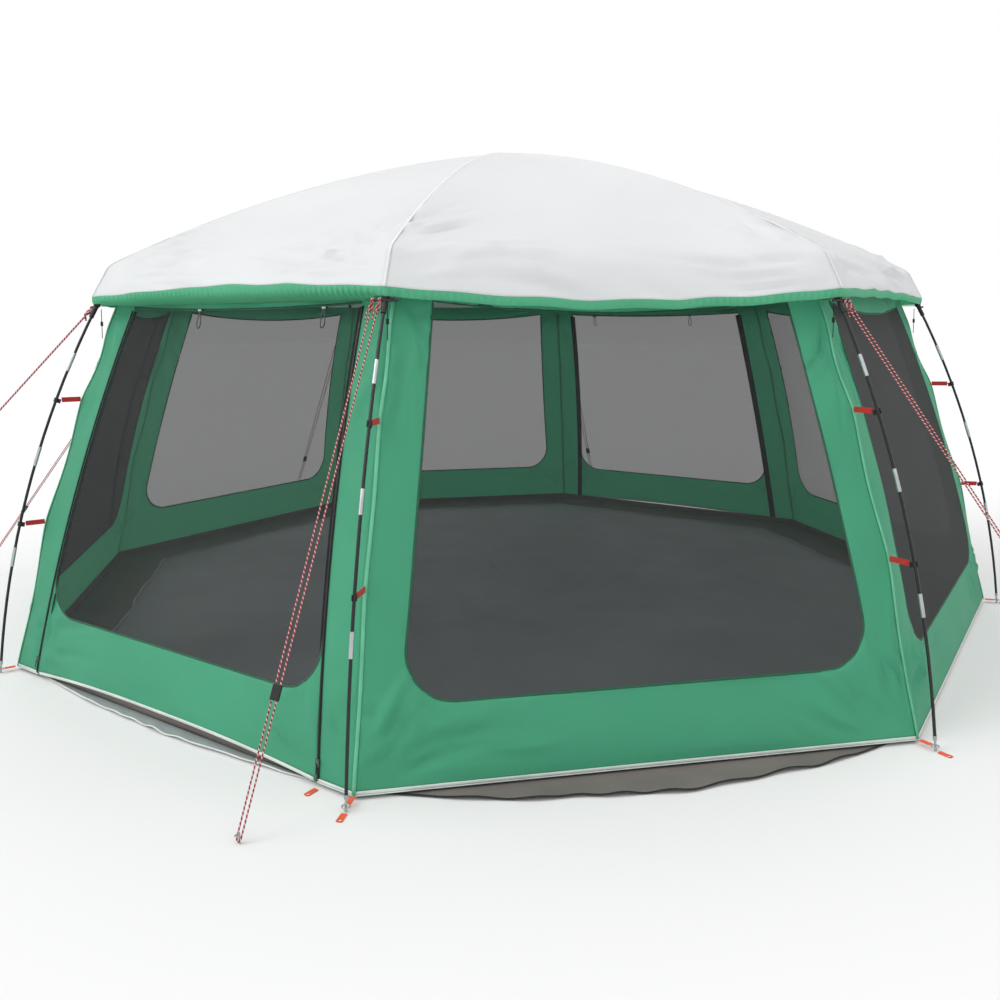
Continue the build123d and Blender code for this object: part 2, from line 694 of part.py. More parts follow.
def mud_flap():
    """Skirt at the foot of the walls: an upright lip, a wide strip on the groundsheet and two bulges."""
    outer, below, over = FLAP_OUTER_FLAT, FLAP_LOW_Z - 1, FLAP_LIP + 1
    strip = octagon(outer, FLAP_LOW_Z, FLAP_HIGH_Z) - octagon(FLAP_INNER_FLAT, below, over)
    lip = octagon(outer, FLAP_LOW_Z, FLAP_LIP) - octagon(outer - LIP_THICK, below, over)
    return strip + lip + [at_wall(n) * flap_bulge(*bulge) for n, bulge in FLAP_BULGES.items()]


# ---------------------------------------------------------------- guy ropes
def guy_geometry(number, run, turn):
    """Ends and directions of one guy rope. Everything is in the row's frame."""
    radial = radians(-90 + STEP / 2 + STEP * number)
    out = Vector(cos(radial), sin(radial), 0)
    across = Vector(-sin(radial), cos(radial), 0)
    side = 1 if turn > 0 else -1
    bar = out * GUY_BAR[0] + Vector(0, 0, GUY_BAR[1])
    tops = [bar + across * (side * offset) for offset in ROPE_TOP_OFFSETS]
    middle_top = (tops[0] + tops[1]) * 0.5
    heading = radial + radians(turn)
    foot = out * HUB[0] + Vector(cos(heading), sin(heading), 0) * run
    foot = Vector(foot.X, foot.Y, ROPE_FOOT_Z)
    down = (foot - middle_top).normalized()
    beside = across * side
    beside = (beside - down * beside.dot(down)).normalized()
    return tops, foot, down, beside


def guy_route(number, run, turn):
    """Rope from the hub's bar round the peg and back to the bar."""
    tops, foot, _, beside = guy_geometry(number, run, turn)
    feet = [foot - beside * ROPE_FOOT_HALF, foot + beside * ROPE_FOOT_HALF]
    starts = [top + (low - top).normalized() * ROPE_START for top, low in zip(tops, feet)]
    return [starts[0], feet[0], feet[1], starts[1]]


def guy_line(number, run, turn):
    route = guy_route(number, run, turn)
    path = FilletPolyline(*route, radius=[ROPE_BEND_R, ROPE_BEND_R])
    section = Plane(origin=route[0], z_dir=route[1] - route[0])
    return sweep(section * Circle(ROPE_R), path=path), path.length


def guy_frame(number, run, turn):
    tops, foot, down, beside = guy_geometry(number, run, turn)
    top = (tops[0] + tops[1]) * 0.5
    centre = top + (foot - top) * RUNNER_SHARE
    return Plane(origin=centre, x_dir=beside, z_dir=down)


def guy_runner(number, run, turn):
    """Flat runner with a bore for each half of the rope."""
    tops = guy_geometry(number, run, turn)[0]
    spacing = (tops[1] - tops[0]).length * (1 - RUNNER_SHARE) + 2 * ROPE_FOOT_HALF * RUNNER_SHARE
    body = fillet(Box(*RUNNER_SIZE).edges(), 2.0)
    bore = Cylinder(RUNNER_BORE_R, RUNNER_SIZE[2] + 2)
    bores = [Pos(side * spacing / 2, 0, 0) * bore for side in (-1, 1)]
    return guy_frame(number, run, turn) * (body - bores)


def ground_peg(number, run, turn):
    """Steel hook peg: the part that stands above the ground."""
    _, foot, down, _ = guy_geometry(number, run, turn)
    inside = foot - down * PEG_INSIDE_LOOP
    heading = degrees(atan2(down.Y, down.X))
    stem = Cylinder(PEG_R, PEG_HEIGHT - PEG_R, align=UPWARDS)
    hook = Pos(PEG_HOOK / 2, 0, PEG_HEIGHT - PEG_R) * Rot(0, 90, 0) * Cylinder(PEG_R, PEG_HOOK)
    cap = Pos(0, 0, PEG_HEIGHT - PEG_R) * Sphere(PEG_R)
    return Pos(inside.X, inside.Y, 0) * Rot(0, 0, heading) * (stem + cap + hook)


# ---------------------------------------------------------------- all nodes
def frame_nodes():
    pole, cord = roof_pole()
    leg_cord = bent_rod(leg_angle(0.0), leg_angle(1.0), CORD_R)
    return {
        "crown_hub": crown_hub(),
        "roof_poles": grouped(around(pole)),
        "eave_hubs": grouped(around(eave_hub())),
        "leg_poles": grouped(s for section in leg_sections() for s in around(section)),
        "pole_ferrules": grouped(f for ferrule in leg_ferrules() for f in around(ferrule)),
        "shock_cords": grouped(around(cord) + around(leg_cord)),
        "foot_pins": grouped(around(foot_pin())),
        "pin_rings": grouped(around(pin_ring())),
        "eave_straps": grouped(around(eave_strap())),
        "corner_ties": grouped(t for tie in corner_tie() for t in around(tie)),
        "clip_hooks": grouped(h for z in CLIP_HEIGHTS for h in around(clip_hook(z))),
        "clip_straps": grouped(s for z in CLIP_HEIGHTS for s in around(clip_strap(z))),
    }


def strap_nodes():
    door_loops = [door_peg_loop(ZIP_LOW_HALF + 12), at_wall(4) * door_peg_loop(-ZIP_LOW_HALF - 12)]
    return {"corner_straps": grouped(around(corner_strap()) + around(peg_loop()) + door_loops)}


def fabric_nodes():
    wall, mesh = window_wall(), window_mesh()
    nodes = {name: at_wall(n) * wall for name, n in WINDOW_WALLS.items()}
    nodes["window_meshes"] = grouped(at_wall(n) * mesh for n in WINDOW_WALLS.values())
    pieces = {"wall": door_wall(), "hem": door_hem(), "mesh": door_mesh()}
    edge = zip_half(PIPING_Z) - DOOR_GAP
    pieces["piping"] = piping(-edge, edge)
    for place, number in (("front", 0), ("rear", 4)):
        for name, piece in pieces.items():
            nodes[f"{place}_door_{name}"] = at_wall(number) * piece
    reach = wall_flat(PIPING_Z) * tan(HALF) - 4
    long_piping = [at_wall(n) * piping(-reach, reach) for n in WINDOW_WALLS.values()]
    start = zip_half(PIPING_Z) + DOOR_GAP
    short = [piping(start, reach), piping(-reach, -start)]
    nodes["hem_piping"] = grouped(long_piping + [at_wall(n) * s for n in (0, 4) for s in short])
    nodes["roof_cover"] = roof_cover()
    nodes["groundsheet"] = groundsheet()
    nodes["mud_flap"] = mud_flap()
    return nodes


def zip_nodes():
    nodes = {}
    tracks = [zip_track(), mirrored(zip_track())]
    nodes["zip_tracks"] = grouped(at_wall(n) * t for n in (0, 4) for t in tracks)
    for place, number, ties in (("front", 0, FRONT_TIES), ("rear", 4, REAR_TIES)):
        turn = at_wall(number)
        nodes[f"{place}_zip_slider_right"] = turn * zip_slider()
        nodes[f"{place}_zip_slider_left"] = turn * mirrored(zip_slider())
        nodes[f"{place}_zip_pull_right"] = turn * zip_pull()
        nodes[f"{place}_zip_pull_left"] = turn * mirrored(zip_pull())
        nodes[f"{place}_tie_left"] = turn * door_tie(ties[0])
        nodes[f"{place}_tie_right"] = turn * door_tie(ties[1])
    return nodes


def guy_nodes():
    nodes = {}
    for name, guy in GUYS.items():
        rope, length = guy_line(*guy)
        nodes[f"guy_line_{name}"] = rope
        nodes[f"guy_runner_{name}"] = guy_runner(*guy)
        ratio = rope.volume / (pi * ROPE_R**2 * length)
        radii = [ROPE_BEND_R, ROPE_BEND_R]
        print(f"guy_line_{name} length {length:.1f} radii {radii} volume ratio {ratio:.5f}")
    nodes["ground_pegs"] = grouped(ground_peg(*guy) for guy in GUYS.values())
    return nodes


def main():
    os.makedirs("parts", exist_ok=True)
    nodes = {**frame_nodes(), **strap_nodes(), **fabric_nodes(), **zip_nodes(), **guy_nodes()}
    for name, shape in nodes.items():
        export_step(shape, f"parts/{name}.step")


main()
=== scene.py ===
"""Looks of the screen house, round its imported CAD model. Metres. Walls have the model's numbers."""

from math import atan2, cos, hypot, pi, radians, sin, sqrt, tan

import bpy
import numpy as np
from mathutils import Matrix, Vector


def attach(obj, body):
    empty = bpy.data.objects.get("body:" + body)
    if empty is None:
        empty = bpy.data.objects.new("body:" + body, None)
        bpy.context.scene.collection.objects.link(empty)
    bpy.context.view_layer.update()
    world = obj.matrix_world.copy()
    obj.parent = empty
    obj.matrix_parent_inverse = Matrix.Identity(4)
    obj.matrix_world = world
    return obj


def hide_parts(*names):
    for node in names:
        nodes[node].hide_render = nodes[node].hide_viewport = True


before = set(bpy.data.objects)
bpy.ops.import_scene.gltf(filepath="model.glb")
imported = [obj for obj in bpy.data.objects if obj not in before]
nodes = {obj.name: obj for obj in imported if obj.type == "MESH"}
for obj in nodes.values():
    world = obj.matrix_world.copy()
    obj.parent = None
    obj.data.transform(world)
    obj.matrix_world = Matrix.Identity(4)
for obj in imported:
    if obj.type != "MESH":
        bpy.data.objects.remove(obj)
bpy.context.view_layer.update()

# --- the part's driving dimensions
SIDES = 8
STEP = 2 * pi / SIDES
HALF = STEP / 2
FLAT = cos(HALF)
WALL_LOW = (2.5 * FLAT, 0.0)
WALL_HIGH = (1.985 * FLAT, 1.5)
WALL_BOW = 0.042
HEM_Z, WALL_TOP_Z = 0.018, 1.545
FABRIC = 0.002
WINDOW_LOW_Z, WINDOW_TOP_Z = 0.27, 1.495
WINDOW_LOW_HALF, WINDOW_TOP_HALF = 0.8, 0.63
WINDOW_CORNER = 0.15
DOOR_TOP_Z = 1.488
ZIP_LOW_HALF, ZIP_TOP_HALF = 0.8, 0.627
ZIP_SLOPE = (ZIP_LOW_HALF - ZIP_TOP_HALF) / (DOOR_TOP_Z - HEM_Z)
DOOR_GAP = 0.0005
WINDOW_SAG, DOOR_SAG = 0.04, 0.015  # of the upper edges in their middle
HEM_ARCH = 0.026  # lift of a door's hem in its middle
APEX_Z = 2.298
HUB = (2.06, 1.505)
GUY_BAR = (2.074, 1.493)
WINDOW_WALLS = {"right_front_wall": 1, "right_wall": 2, "right_rear_wall": 3,
                "left_rear_wall": 5, "left_wall": 6, "left_front_wall": 7}
DOORS = {"front": 0, "rear": 4}
DOOR_TIES = {"front": (-0.195, 0.465), "rear": (-0.285, 0.455)}


def circle_of(a, m, b):
    """Centre and radius of the circle through three points in a plane."""
    (ax, ay), (mx, my), (bx, by) = a, m, b
    d = 2 * (ax * (my - by) + mx * (by - ay) + bx * (ay - my))
    sa, sm, sb = ax * ax + ay * ay, mx * mx + my * my, bx * bx + by * by
    cx = (sa * (my - by) + sm * (by - ay) + sb * (ay - my)) / d
    cy = (sa * (bx - mx) + sm * (ax - bx) + sb * (mx - ax)) / d
    return (cx, cy), hypot(ax - cx, ay - cy)


def bowed(a, b, bow):
    """Middle of the arc from a up to b that bulges outwards by bow."""
    dx, dy = b[0] - a[0], b[1] - a[1]
    length = hypot(dx, dy)
    side = 1 if dy > 0 else -1
    return ((a[0] + b[0]) / 2 + side * bow * dy / length, (a[1] + b[1]) / 2 - side * bow * dx / length)


WALL_CENTRE, WALL_RADIUS = circle_of(WALL_LOW, bowed(WALL_LOW, WALL_HIGH, WALL_BOW), WALL_HIGH)


def wall_flat(z):
    """Distance of a wall's middle from the centre line at height z. Works on arrays too."""
    return WALL_CENTRE[0] + np.sqrt(WALL_RADIUS**2 - (z - WALL_CENTRE[1]) ** 2)


def wall_reach(z):
    """Half the width of a wall at height z."""
    return wall_flat(z) * tan(HALF) - 0.0003


def zip_half(z):
    return ZIP_TOP_HALF + (DOOR_TOP_Z - z) * ZIP_SLOPE


def turned(points, number):
    """Points of the front wall, turned to another wall."""
    a = STEP * number
    p = np.asarray(points, float)
    x, y = p[..., 0] * cos(a) - p[..., 1] * sin(a), p[..., 0] * sin(a) + p[..., 1] * cos(a)
    return np.stack([x, y, p[..., 2]], -1)


UPRIGHT = (0.0, 0.0, 1.0)
CORNER_TIES_Z = (0.0, 0.62, 1.12, 1.42)  # where a corner seam is held out by the frame
CORNER_HOLLOW, CORNER_WIDTH = 0.016, 0.13


def hollow(z):
    """How far a corner seam falls in between the places that hold it."""
    between_ties = [(z - low) / (high - low) for low, high in zip(CORNER_TIES_Z[:-1], CORNER_TIES_Z[1:])]
    return CORNER_HOLLOW * sum(np.sin(np.clip(t, 0, 1) * pi) ** 1.5 for t in between_ties)


def on_wall(number, x, z, out=0.0):
    """Points at (x, z) on a wall, out beyond its middle surface."""
    x, z, out = np.broadcast_arrays(np.asarray(x, float), np.asarray(z, float), np.asarray(out, float))
    near = np.clip(1 - (wall_reach(z) - np.abs(x)) / CORNER_WIDTH, 0, 1) ** 2
    fall = hollow(z) * near
    x = x - np.sign(x) * fall * sin(HALF)
    out = out - fall * cos(HALF)
    radius = WALL_RADIUS - FABRIC / 2 + out
    angle = np.arctan2(z - WALL_CENTRE[1], wall_flat(z) - WALL_CENTRE[0])
    flat = WALL_CENTRE[0] + radius * np.cos(angle)
    height = WALL_CENTRE[1] + radius * np.sin(angle)
    return turned(np.stack([x, -flat, height], -1), number)


# --- camera
CAMERA_AT = Vector((2.709, -4.115, 1.412))
CAMERA_YAW, CAMERA_PITCH, CAMERA_ROLL = radians(-34.18), radians(-11.04), radians(-0.26)
camera_data = bpy.data.cameras.new("camera")
camera_data.lens = 32.13
camera_data.sensor_width = 36
camera_data.shift_x = 0.0044
camera = bpy.data.objects.new("camera", camera_data)
bpy.context.scene.collection.objects.link(camera)
ahead = Vector((sin(CAMERA_YAW) * cos(CAMERA_PITCH), cos(CAMERA_YAW) * cos(CAMERA_PITCH), sin(CAMERA_PITCH)))
level = Vector((cos(CAMERA_YAW), -sin(CAMERA_YAW), 0))
above = level.cross(ahead)
right = level * cos(CAMERA_ROLL) + above * sin(CAMERA_ROLL)
above = above * cos(CAMERA_ROLL) - level * sin(CAMERA_ROLL)
camera.matrix_world = Matrix.Translation(CAMERA_AT) @ Matrix((right, above, -ahead)).transposed().to_4x4()
bpy.context.scene.camera = camera
bpy.context.scene.view_settings.view_transform = "Standard"


# --- materials
def linear(r, g, b):
    """Scene colour from screen values of 0 to 255."""
    return tuple(c / 255 / 12.92 if c <= 10 else ((c / 255 + 0.055) / 1.055) ** 2.4 for c in (r, g, b))


def add_node(tree, kind, inputs=(), **settings):
    """A shader node. Each input is linked to a socket or set to a value."""
    made = tree.nodes.new(kind)
    for key, value in settings.items():
        setattr(made, key, value)
    for socket, value in dict(inputs).items():
        if hasattr(value, "is_output"):
            tree.links.new(value, made.inputs[socket])
        else:
            made.inputs[socket].default_value = value
    return made


class Finish:
    """A node material with one Principled shader, helpers that add detail, and the slot of its pieces."""

    def __init__(self, name, colour, roughness, slot="", **sockets):
        self.slot = slot
        self.m = bpy.data.materials.new(name)
        self.m.use_nodes = True
        self.tree = self.m.node_tree
        self.shader = self.tree.nodes["Principled BSDF"]
        self.output = self.tree.nodes["Material Output"]
        self.colour = linear(*colour)
        self.shader.inputs["Base Color"].default_value = (*self.colour, 1)
        self.shader.inputs["Roughness"].default_value = roughness
        for socket, value in sockets.items():
            self.shader.inputs[socket.replace("_", " ")].default_value = value
        self.height = None

    def node(self, kind, inputs=(), **settings):
        return add_node(self.tree, kind, inputs, **settings)

    def place(self, stretch=(1, 1, 1), source="Object"):
        coordinates = self.node("ShaderNodeTexCoord").outputs[source]
        return self.node("ShaderNodeMapping", {"Vector": coordinates, "Scale": stretch}).outputs[0]

    def noise(self, scale, detail=3.0, stretch=(1, 1, 1), distortion=0.0):
        inputs = {"Vector": self.place(stretch), "Scale": scale, "Detail": detail, "Distortion": distortion}
        return self.node("ShaderNodeTexNoise", inputs).outputs["Fac"]

    def waves(self, pitch, direction):
        inputs = {"Vector": self.place(), "Scale": pi / pitch / 10}
        return self.node("ShaderNodeTexWave", inputs, bands_direction=direction).outputs["Fac"]

    def maths(self, operation, a, b=0.0, c=0.0):
        return self.node("ShaderNodeMath", {0: a, 1: b, 2: c}, operation=operation).outputs[0]

    def ramp(self, value, low, high, dark, light):
        """Number from dark to light as value goes from low to high."""
        inputs = {"Value": value, "From Min": low, "From Max": high, "To Min": dark, "To Max": light}
        return self.node("ShaderNodeMapRange", inputs).outputs["Result"]

    def tint(self, value, dark, light):
        """Colour between dark and light times the finish's own."""
        mix = self.node("ShaderNodeMix", {"Factor": value}, data_type="RGBA")
        for socket, share in ((6, dark), (7, light)):
            mix.inputs[socket].default_value = (*[min(1, c * share) for c in self.colour], 1)
        return mix.outputs[2]

    def paint(self, colour):
        self.tree.links.new(colour, self.shader.inputs["Base Color"])
        return self

    def vary(self, scale, dark, light):
        """Uneven colour over the surface."""
        return self.paint(self.tint(self.ramp(self.noise(scale, 4), 0.3, 0.7, 0, 1), dark, light))

    def rough(self, scale, low, high):
        """Uneven roughness over the surface."""
        uneven = self.ramp(self.noise(scale), 0.3, 0.7, low, high)
        self.tree.links.new(uneven, self.shader.inputs["Roughness"])
        return self

    def bump(self, value, distance, strength=1.0):
        inputs = {"Height": value, "Distance": distance, "Strength": strength}
        made = self.node("ShaderNodeBump", inputs)
        if self.height is not None:
            self.tree.links.new(self.height, made.inputs["Normal"])
        self.height = made.outputs["Normal"]
        self.tree.links.new(self.height, self.shader.inputs["Normal"])
        return self

    def weave(self, pitch, distance):
        """Crossed threads."""
        crossed = self.maths("MULTIPLY", self.waves(pitch, "Z"), self.waves(pitch, "DIAGONAL"))
        return self.bump(crossed, distance)

    def crumple(self, scale, distance, strength):
        """Soft sharp-edged creases of a coated cloth."""
        ridge = self.maths("ABSOLUTE", self.maths("SUBTRACT", self.noise(scale, 2, distortion=0.6), 0.5))
        return self.bump(ridge, distance, strength)

    def denser_edge_on(self, face_on, edge_on, low, high):
        """Opacity of a net: face_on when seen straight, edge_on when seen along its surface."""
        facing = self.node("ShaderNodeLayerWeight", {"Blend": 0.5}).outputs["Facing"]
        inputs = {"Value": facing, "From Min": low, "From Max": high, "To Min": face_on, "To Max": edge_on}
        made = self.node("ShaderNodeMapRange", inputs, interpolation_type="SMOOTHSTEP")
        self.tree.links.new(made.outputs["Result"], self.shader.inputs["Alpha"])
        return self

    def through(self, share, colour):
        """Lets a share of the light through the cloth, coloured."""
        glow = self.node("ShaderNodeBsdfTranslucent", {"Color": (*linear(*colour), 1)})
        mix = self.node("ShaderNodeMixShader", {0: share})
        self.tree.links.new(self.shader.outputs[0], mix.inputs[1])
        self.tree.links.new(glow.outputs[0], mix.inputs[2])
        self.tree.links.new(mix.outputs[0], self.output.inputs["Surface"])
        return self


def tape(name, colour, roughness, slot, uneven, pitch=0.0012, depth=0.0002):
    """Finish of a narrow woven tape or cord."""
    return Finish(name, colour, roughness, slot).vary(*uneven).weave(pitch, depth)


GREEN = (82, 176, 139)
SHEEN = {"Sheen_Weight": 0.12, "Sheen_Roughness": 0.4}
green_cloth = Finish("green_cloth", GREEN, 0.62, "green_fabric", **SHEEN)
green_cloth.vary(1.7, 0.93, 1.06).rough(6, 0.52, 0.7).weave(0.0016, 0.00015).crumple(7, 0.009, 0.45)
green_cloth.crumple(24, 0.003, 0.5).through(0.44, (158, 240, 210))
green_binding = tape("green_binding", (34, 84, 62), 0.7, "green_fabric", (20, 0.85, 1.1))
# The gathered band is the walls' green cloth, coloured lighter: painted light that offsets the shade under
# the cover's edge.
band_cloth_painted_light = Finish("band_cloth_painted_light", (104, 196, 158), 0.62, "white_cover", **SHEEN)
band_cloth_painted_light.vary(3, 0.93, 1.06).weave(0.0016, 0.00015).crumple(24, 0.003, 0.5).through(0.44, (150, 244, 200))
seam_cloth = tape("seam_cloth", (96, 182, 144), 0.6, "green_fabric", (12, 0.85, 1.1), 0.0014)
cover_cloth = Finish("cover_cloth", (238, 239, 240), 0.5, "white_cover", Sheen_Weight=0.05)
cover_cloth.vary(1.1, 0.96, 1.02).rough(5, 0.42, 0.56).weave(0.0016, 0.00012).crumple(4.5, 0.01, 0.35)
cover_cloth.crumple(17, 0.003, 0.4).through(0.34, (246, 247, 248))
cover_seam = tape("cover_seam", (220, 221, 222), 0.55, "white_cover", (14, 0.94, 1.02), 0.0014)
net = Finish("insect_net", (27, 29, 31), 0.85, "insect_mesh")
net.vary(3, 0.85, 1.15).weave(0.0014, 0.0002).denser_edge_on(0.58, 0.97, 0.42, 0.82)
floor_cloth = Finish("groundsheet", (152, 156, 158), 0.55, "grey_groundsheet")
floor_cloth.vary(1.3, 0.9, 1.08).rough(4, 0.48, 0.66).weave(0.0018, 0.00015).crumple(3.2, 0.012, 0.5)
flap_cloth = Finish("mud_flap", (112, 106, 102), 0.6, "grey_flap")
flap_front = Finish("mud_flap_front", (150, 160, 160), 0.6, "grey_flap")
for made in (flap_cloth, flap_front):
    made.vary(3, 0.85, 1.1).rough(6, 0.5, 0.7).weave(0.0018, 0.00015).crumple(8, 0.008, 0.5)
flap_edge = tape("flap_edge", (190, 193, 194), 0.6, "grey_flap", (16, 0.9, 1.06))
piping = tape("piping", (214, 221, 216), 0.6, "hem_piping", (14, 0.88, 1.05))
zip_black = Finish("zip_black", (16, 17, 18), 0.45, "zip_black").vary(30, 0.8, 1.3).rough(60, 0.35, 0.6)
zip_tape = tape("zip_tape", (22, 24, 25), 0.8, "zip_black", (20, 0.8, 1.2), 0.001)


def plastic(name, colour, roughness, slot=""):
    made = Finish(name, colour, roughness, slot)
    made.vary(25, 0.88, 1.1).rough(70, roughness - 0.07, roughness + 0.12)
    return made.bump(made.noise(900, 2), 0.0001, 0.4)


def steel(name, colour, roughness):
    made = Finish(name, colour, roughness, Metallic=1.0)
    made.vary(18, 0.86, 1.06).rough(45, roughness - 0.06, roughness + 0.15)
    return made.bump(made.noise(60, 2, (1, 1, 30)), 0.0001, 0.3)


RIB_PITCH = 0.0026


def webbing(name, colour):
    made = Finish(name, colour, 0.75, Sheen_Weight=0.1)
    made.vary(40, 0.82, 1.12)
    return made.bump(made.waves(RIB_PITCH, "Z"), 0.0005).bump(made.noise(700, 2), 0.0003)


pole_black = plastic("pole_black", (22, 23, 24), 0.3)
hub_black = plastic("hub_black", (24, 25, 26), 0.45, "tie_white")
clip_black = plastic("clip_black", (26, 26, 27), 0.45)
runner_black = plastic("runner_black", (20, 20, 22), 0.35)
toggle_white = plastic("toggle_white", (212, 214, 212), 0.4, "tie_white")
ferrule_steel = steel("ferrule_steel", (196, 200, 202), 0.32)
pin_steel = steel("pin_steel", (176, 180, 182), 0.3)
zip_metal = steel("zip_metal", (170, 172, 174), 0.28)
red_webbing = webbing("red_webbing", (184, 38, 30))
orange_webbing = webbing("orange_webbing", (226, 88, 42))
black_webbing = webbing("black_webbing", (24, 25, 26))
elastic_black = tape("elastic_black", (26, 27, 28), 0.8, "", (60, 0.7, 1.4), 0.0014, 0.0003)
elastic_grey = tape("elastic_grey", (92, 96, 98), 0.8, "tie_white", (60, 0.8, 1.2), 0.0014, 0.0003)
WHITE_PITCH, SHADED_STRAND_PITCH = 0.014, 0.0093  # length of one turn round the rope of a white fleck, and of a strand with painted shade beside it


def braid():
    """Red rope with white flecks and dark painted shade between its strands, both running round it. Its V
    coordinate is metres along the rope.
    """
    made = Finish("guy_rope", (196, 34, 44), 0.72, "guy_rope", Sheen_Weight=0.1)
    split = made.node("ShaderNodeSeparateXYZ", {0: made.place(source="UV")})
    round_it, along = split.outputs[0], split.outputs[1]
    turns = made.maths("MULTIPLY_ADD", along, 1 / WHITE_PITCH, round_it)
    back = made.maths("MULTIPLY_ADD", along, -1 / SHADED_STRAND_PITCH, round_it)
    white = made.maths("LESS_THAN", made.maths("FRACT", turns), 0.3)
    # mask of the painted shade beside the strands that run the other way
    dark = made.maths("LESS_THAN", made.maths("FRACT", back), 0.2)
    first = made.node("ShaderNodeMix", {"Factor": dark}, data_type="RGBA")
    first.inputs[6].default_value = (*made.colour, 1)
    # dark red: painted shade in the hollows of the braid
    first.inputs[7].default_value = (*linear(70, 12, 20), 1)
    second = made.node("ShaderNodeMix", {"Factor": white, 6: first.outputs[2]}, data_type="RGBA")
    second.inputs[7].default_value = (*linear(240, 226, 226), 1)
    made.paint(second.outputs[2])
    strands = made.maths("SINE", made.maths("MULTIPLY", turns, 12 * pi))
    crossed = made.maths("SINE", made.maths("MULTIPLY", back, 12 * pi))
    return made.bump(made.maths("MULTIPLY", strands, crossed), 0.0004)


guy_rope = braid()


# --- mesh helpers
def piece(name, points, faces, finish, body="house", smooth=True):
    """A mesh object that rides on a body."""
    mesh = bpy.data.meshes.new(name)
    mesh.from_pydata([tuple(map(float, p)) for p in points], [], [tuple(map(int, f)) for f in faces])
    mesh.materials.append(finish.m)
    mesh.polygons.foreach_set("use_smooth", [smooth] * len(mesh.polygons))
    mesh.update()
    made = bpy.data.objects.new(name, mesh)
    bpy.context.scene.collection.objects.link(made)
    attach(made, body)
    return made


def thicken(made, thickness):
    """Gives a single sheet its thickness, as real faces."""
    solid = made.modifiers.new("thickness", "SOLIDIFY")
    solid.thickness = thickness
    solid.offset = 0
    return made


def grid_faces(rows, columns, closed=False):
    """Quads of a grid of rows by columns points, numbered along each row."""
    faces = []
    for r in range(rows - 1):
        for c in range(columns if closed else columns - 1):
            d = (c + 1) % columns
            low, high = r * columns, (r + 1) * columns
            faces.append((low + c, low + d, high + d, high + c))
    return faces


def fan_faces(first, count, centre):
    """Triangles from count points round to one in the centre."""
    return [(first + c, first + (c + 1) % count, centre) for c in range(count)]


def grid_piece(name, points, finish, body="house", closed=False):
    """A sheet through a grid of points."""
    return piece(name, points.reshape(-1, 3), grid_faces(*points.shape[:2], closed), finish, body)


def end_faces(count, sides):
    """Caps of the first and the last of count rings."""
    return [tuple(reversed(range(sides))), tuple((count - 1) * sides + c for c in range(sides))]


def ring_faces(count, sides):
    """Quads between the last and the first of count rings."""
    last = (count - 1) * sides
    return [(last + c, last + (c + 1) % sides, (c + 1) % sides, c) for c in range(sides)]


def path_steps(path):
    """Distance along a path at each of its points."""
    return np.r_[0, np.cumsum(np.linalg.norm(np.diff(path, axis=0), axis=1))]


def unit(vectors):
    return vectors / np.linalg.norm(vectors, axis=-1)[..., None]


def at_distances(path, wanted):
    """Points at these distances along a path."""
    steps = path_steps(path)
    return np.stack([np.interp(wanted, steps, path[:, i]) for i in range(path.shape[1])], 1)


def resampled(path, count):
    """count points evenly along a path."""
    path = np.asarray(path, float)
    return at_distances(path, np.linspace(0, path_steps(path)[-1], count))


def tube(name, path, size, finish, body="house", closed=False, across=None, sides=8):
    """A tube of half sizes (a, b) along a path. across fixes the direction of a at each point.

    Its UVs run once round it and in metres along it.
    """
    path = np.asarray(path, float)
    count = len(path)
    ahead_of = unit(np.roll(path, -1, 0) - np.roll(path, 1, 0) if closed else np.gradient(path, axis=0))
    if across is None:
        start = np.cross(ahead_of[0], UPRIGHT)
        if np.linalg.norm(start) < 0.1:
            start = np.cross(ahead_of[0], (1.0, 0.0, 0.0))
        across = np.zeros_like(path)
        for i in range(count):
            start = unit(start - ahead_of[i] * (start @ ahead_of[i]))
            across[i] = start
    else:
        across = np.broadcast_to(np.asarray(across, float), path.shape)
        across = unit(across - ahead_of * np.sum(across * ahead_of, 1)[:, None])
    up = np.cross(ahead_of, across)
    angles = np.arange(sides) * 2 * pi / sides
    a, b = size
    rings = (path[:, None] + across[:, None] * (a * np.cos(angles))[None, :, None]
             + up[:, None] * (b * np.sin(angles))[None, :, None])
    uvs = np.stack(np.meshgrid(angles / (2 * pi), path_steps(path)), -1).reshape(-1, 2)
    faces = grid_faces(count, sides, closed=True)
    if closed:
        faces += ring_faces(count, sides)
    else:
        faces += end_faces(count, sides)
    made = piece(name, rings.reshape(-1, 3), faces, finish, body)
    layer = made.data.uv_layers.new(name="UVMap")
    corner = np.zeros(len(made.data.loops), np.int32)
    made.data.loops.foreach_get("vertex_index", corner)
    flat = uvs[corner]
    for face in made.data.polygons:  # the last strip goes on past 1 rather than back to 0
        ids = list(face.loop_indices)
        if len(ids) == 4 and flat[ids, 0].max() - flat[ids, 0].min() > 0.5:
            for i in ids:
                if flat[i, 0] < 0.25:
                    flat[i, 0] += 1
    layer.data.foreach_set("uv", flat.astype(np.float32).ravel())
    return made


def smoothstep(value, low, high):
    t = np.clip((value - low) / (high - low), 0, 1)
    return t * t * (3 - 2 * t)


def mirrored(anchors):
    """Each anchor (x, z, reach, direction, spread) followed by its mirror image."""
    return [a for x, z, reach, way, spread in anchors
            for a in ((x, z, reach, way, spread), (-x, z, reach, pi - way, spread))]


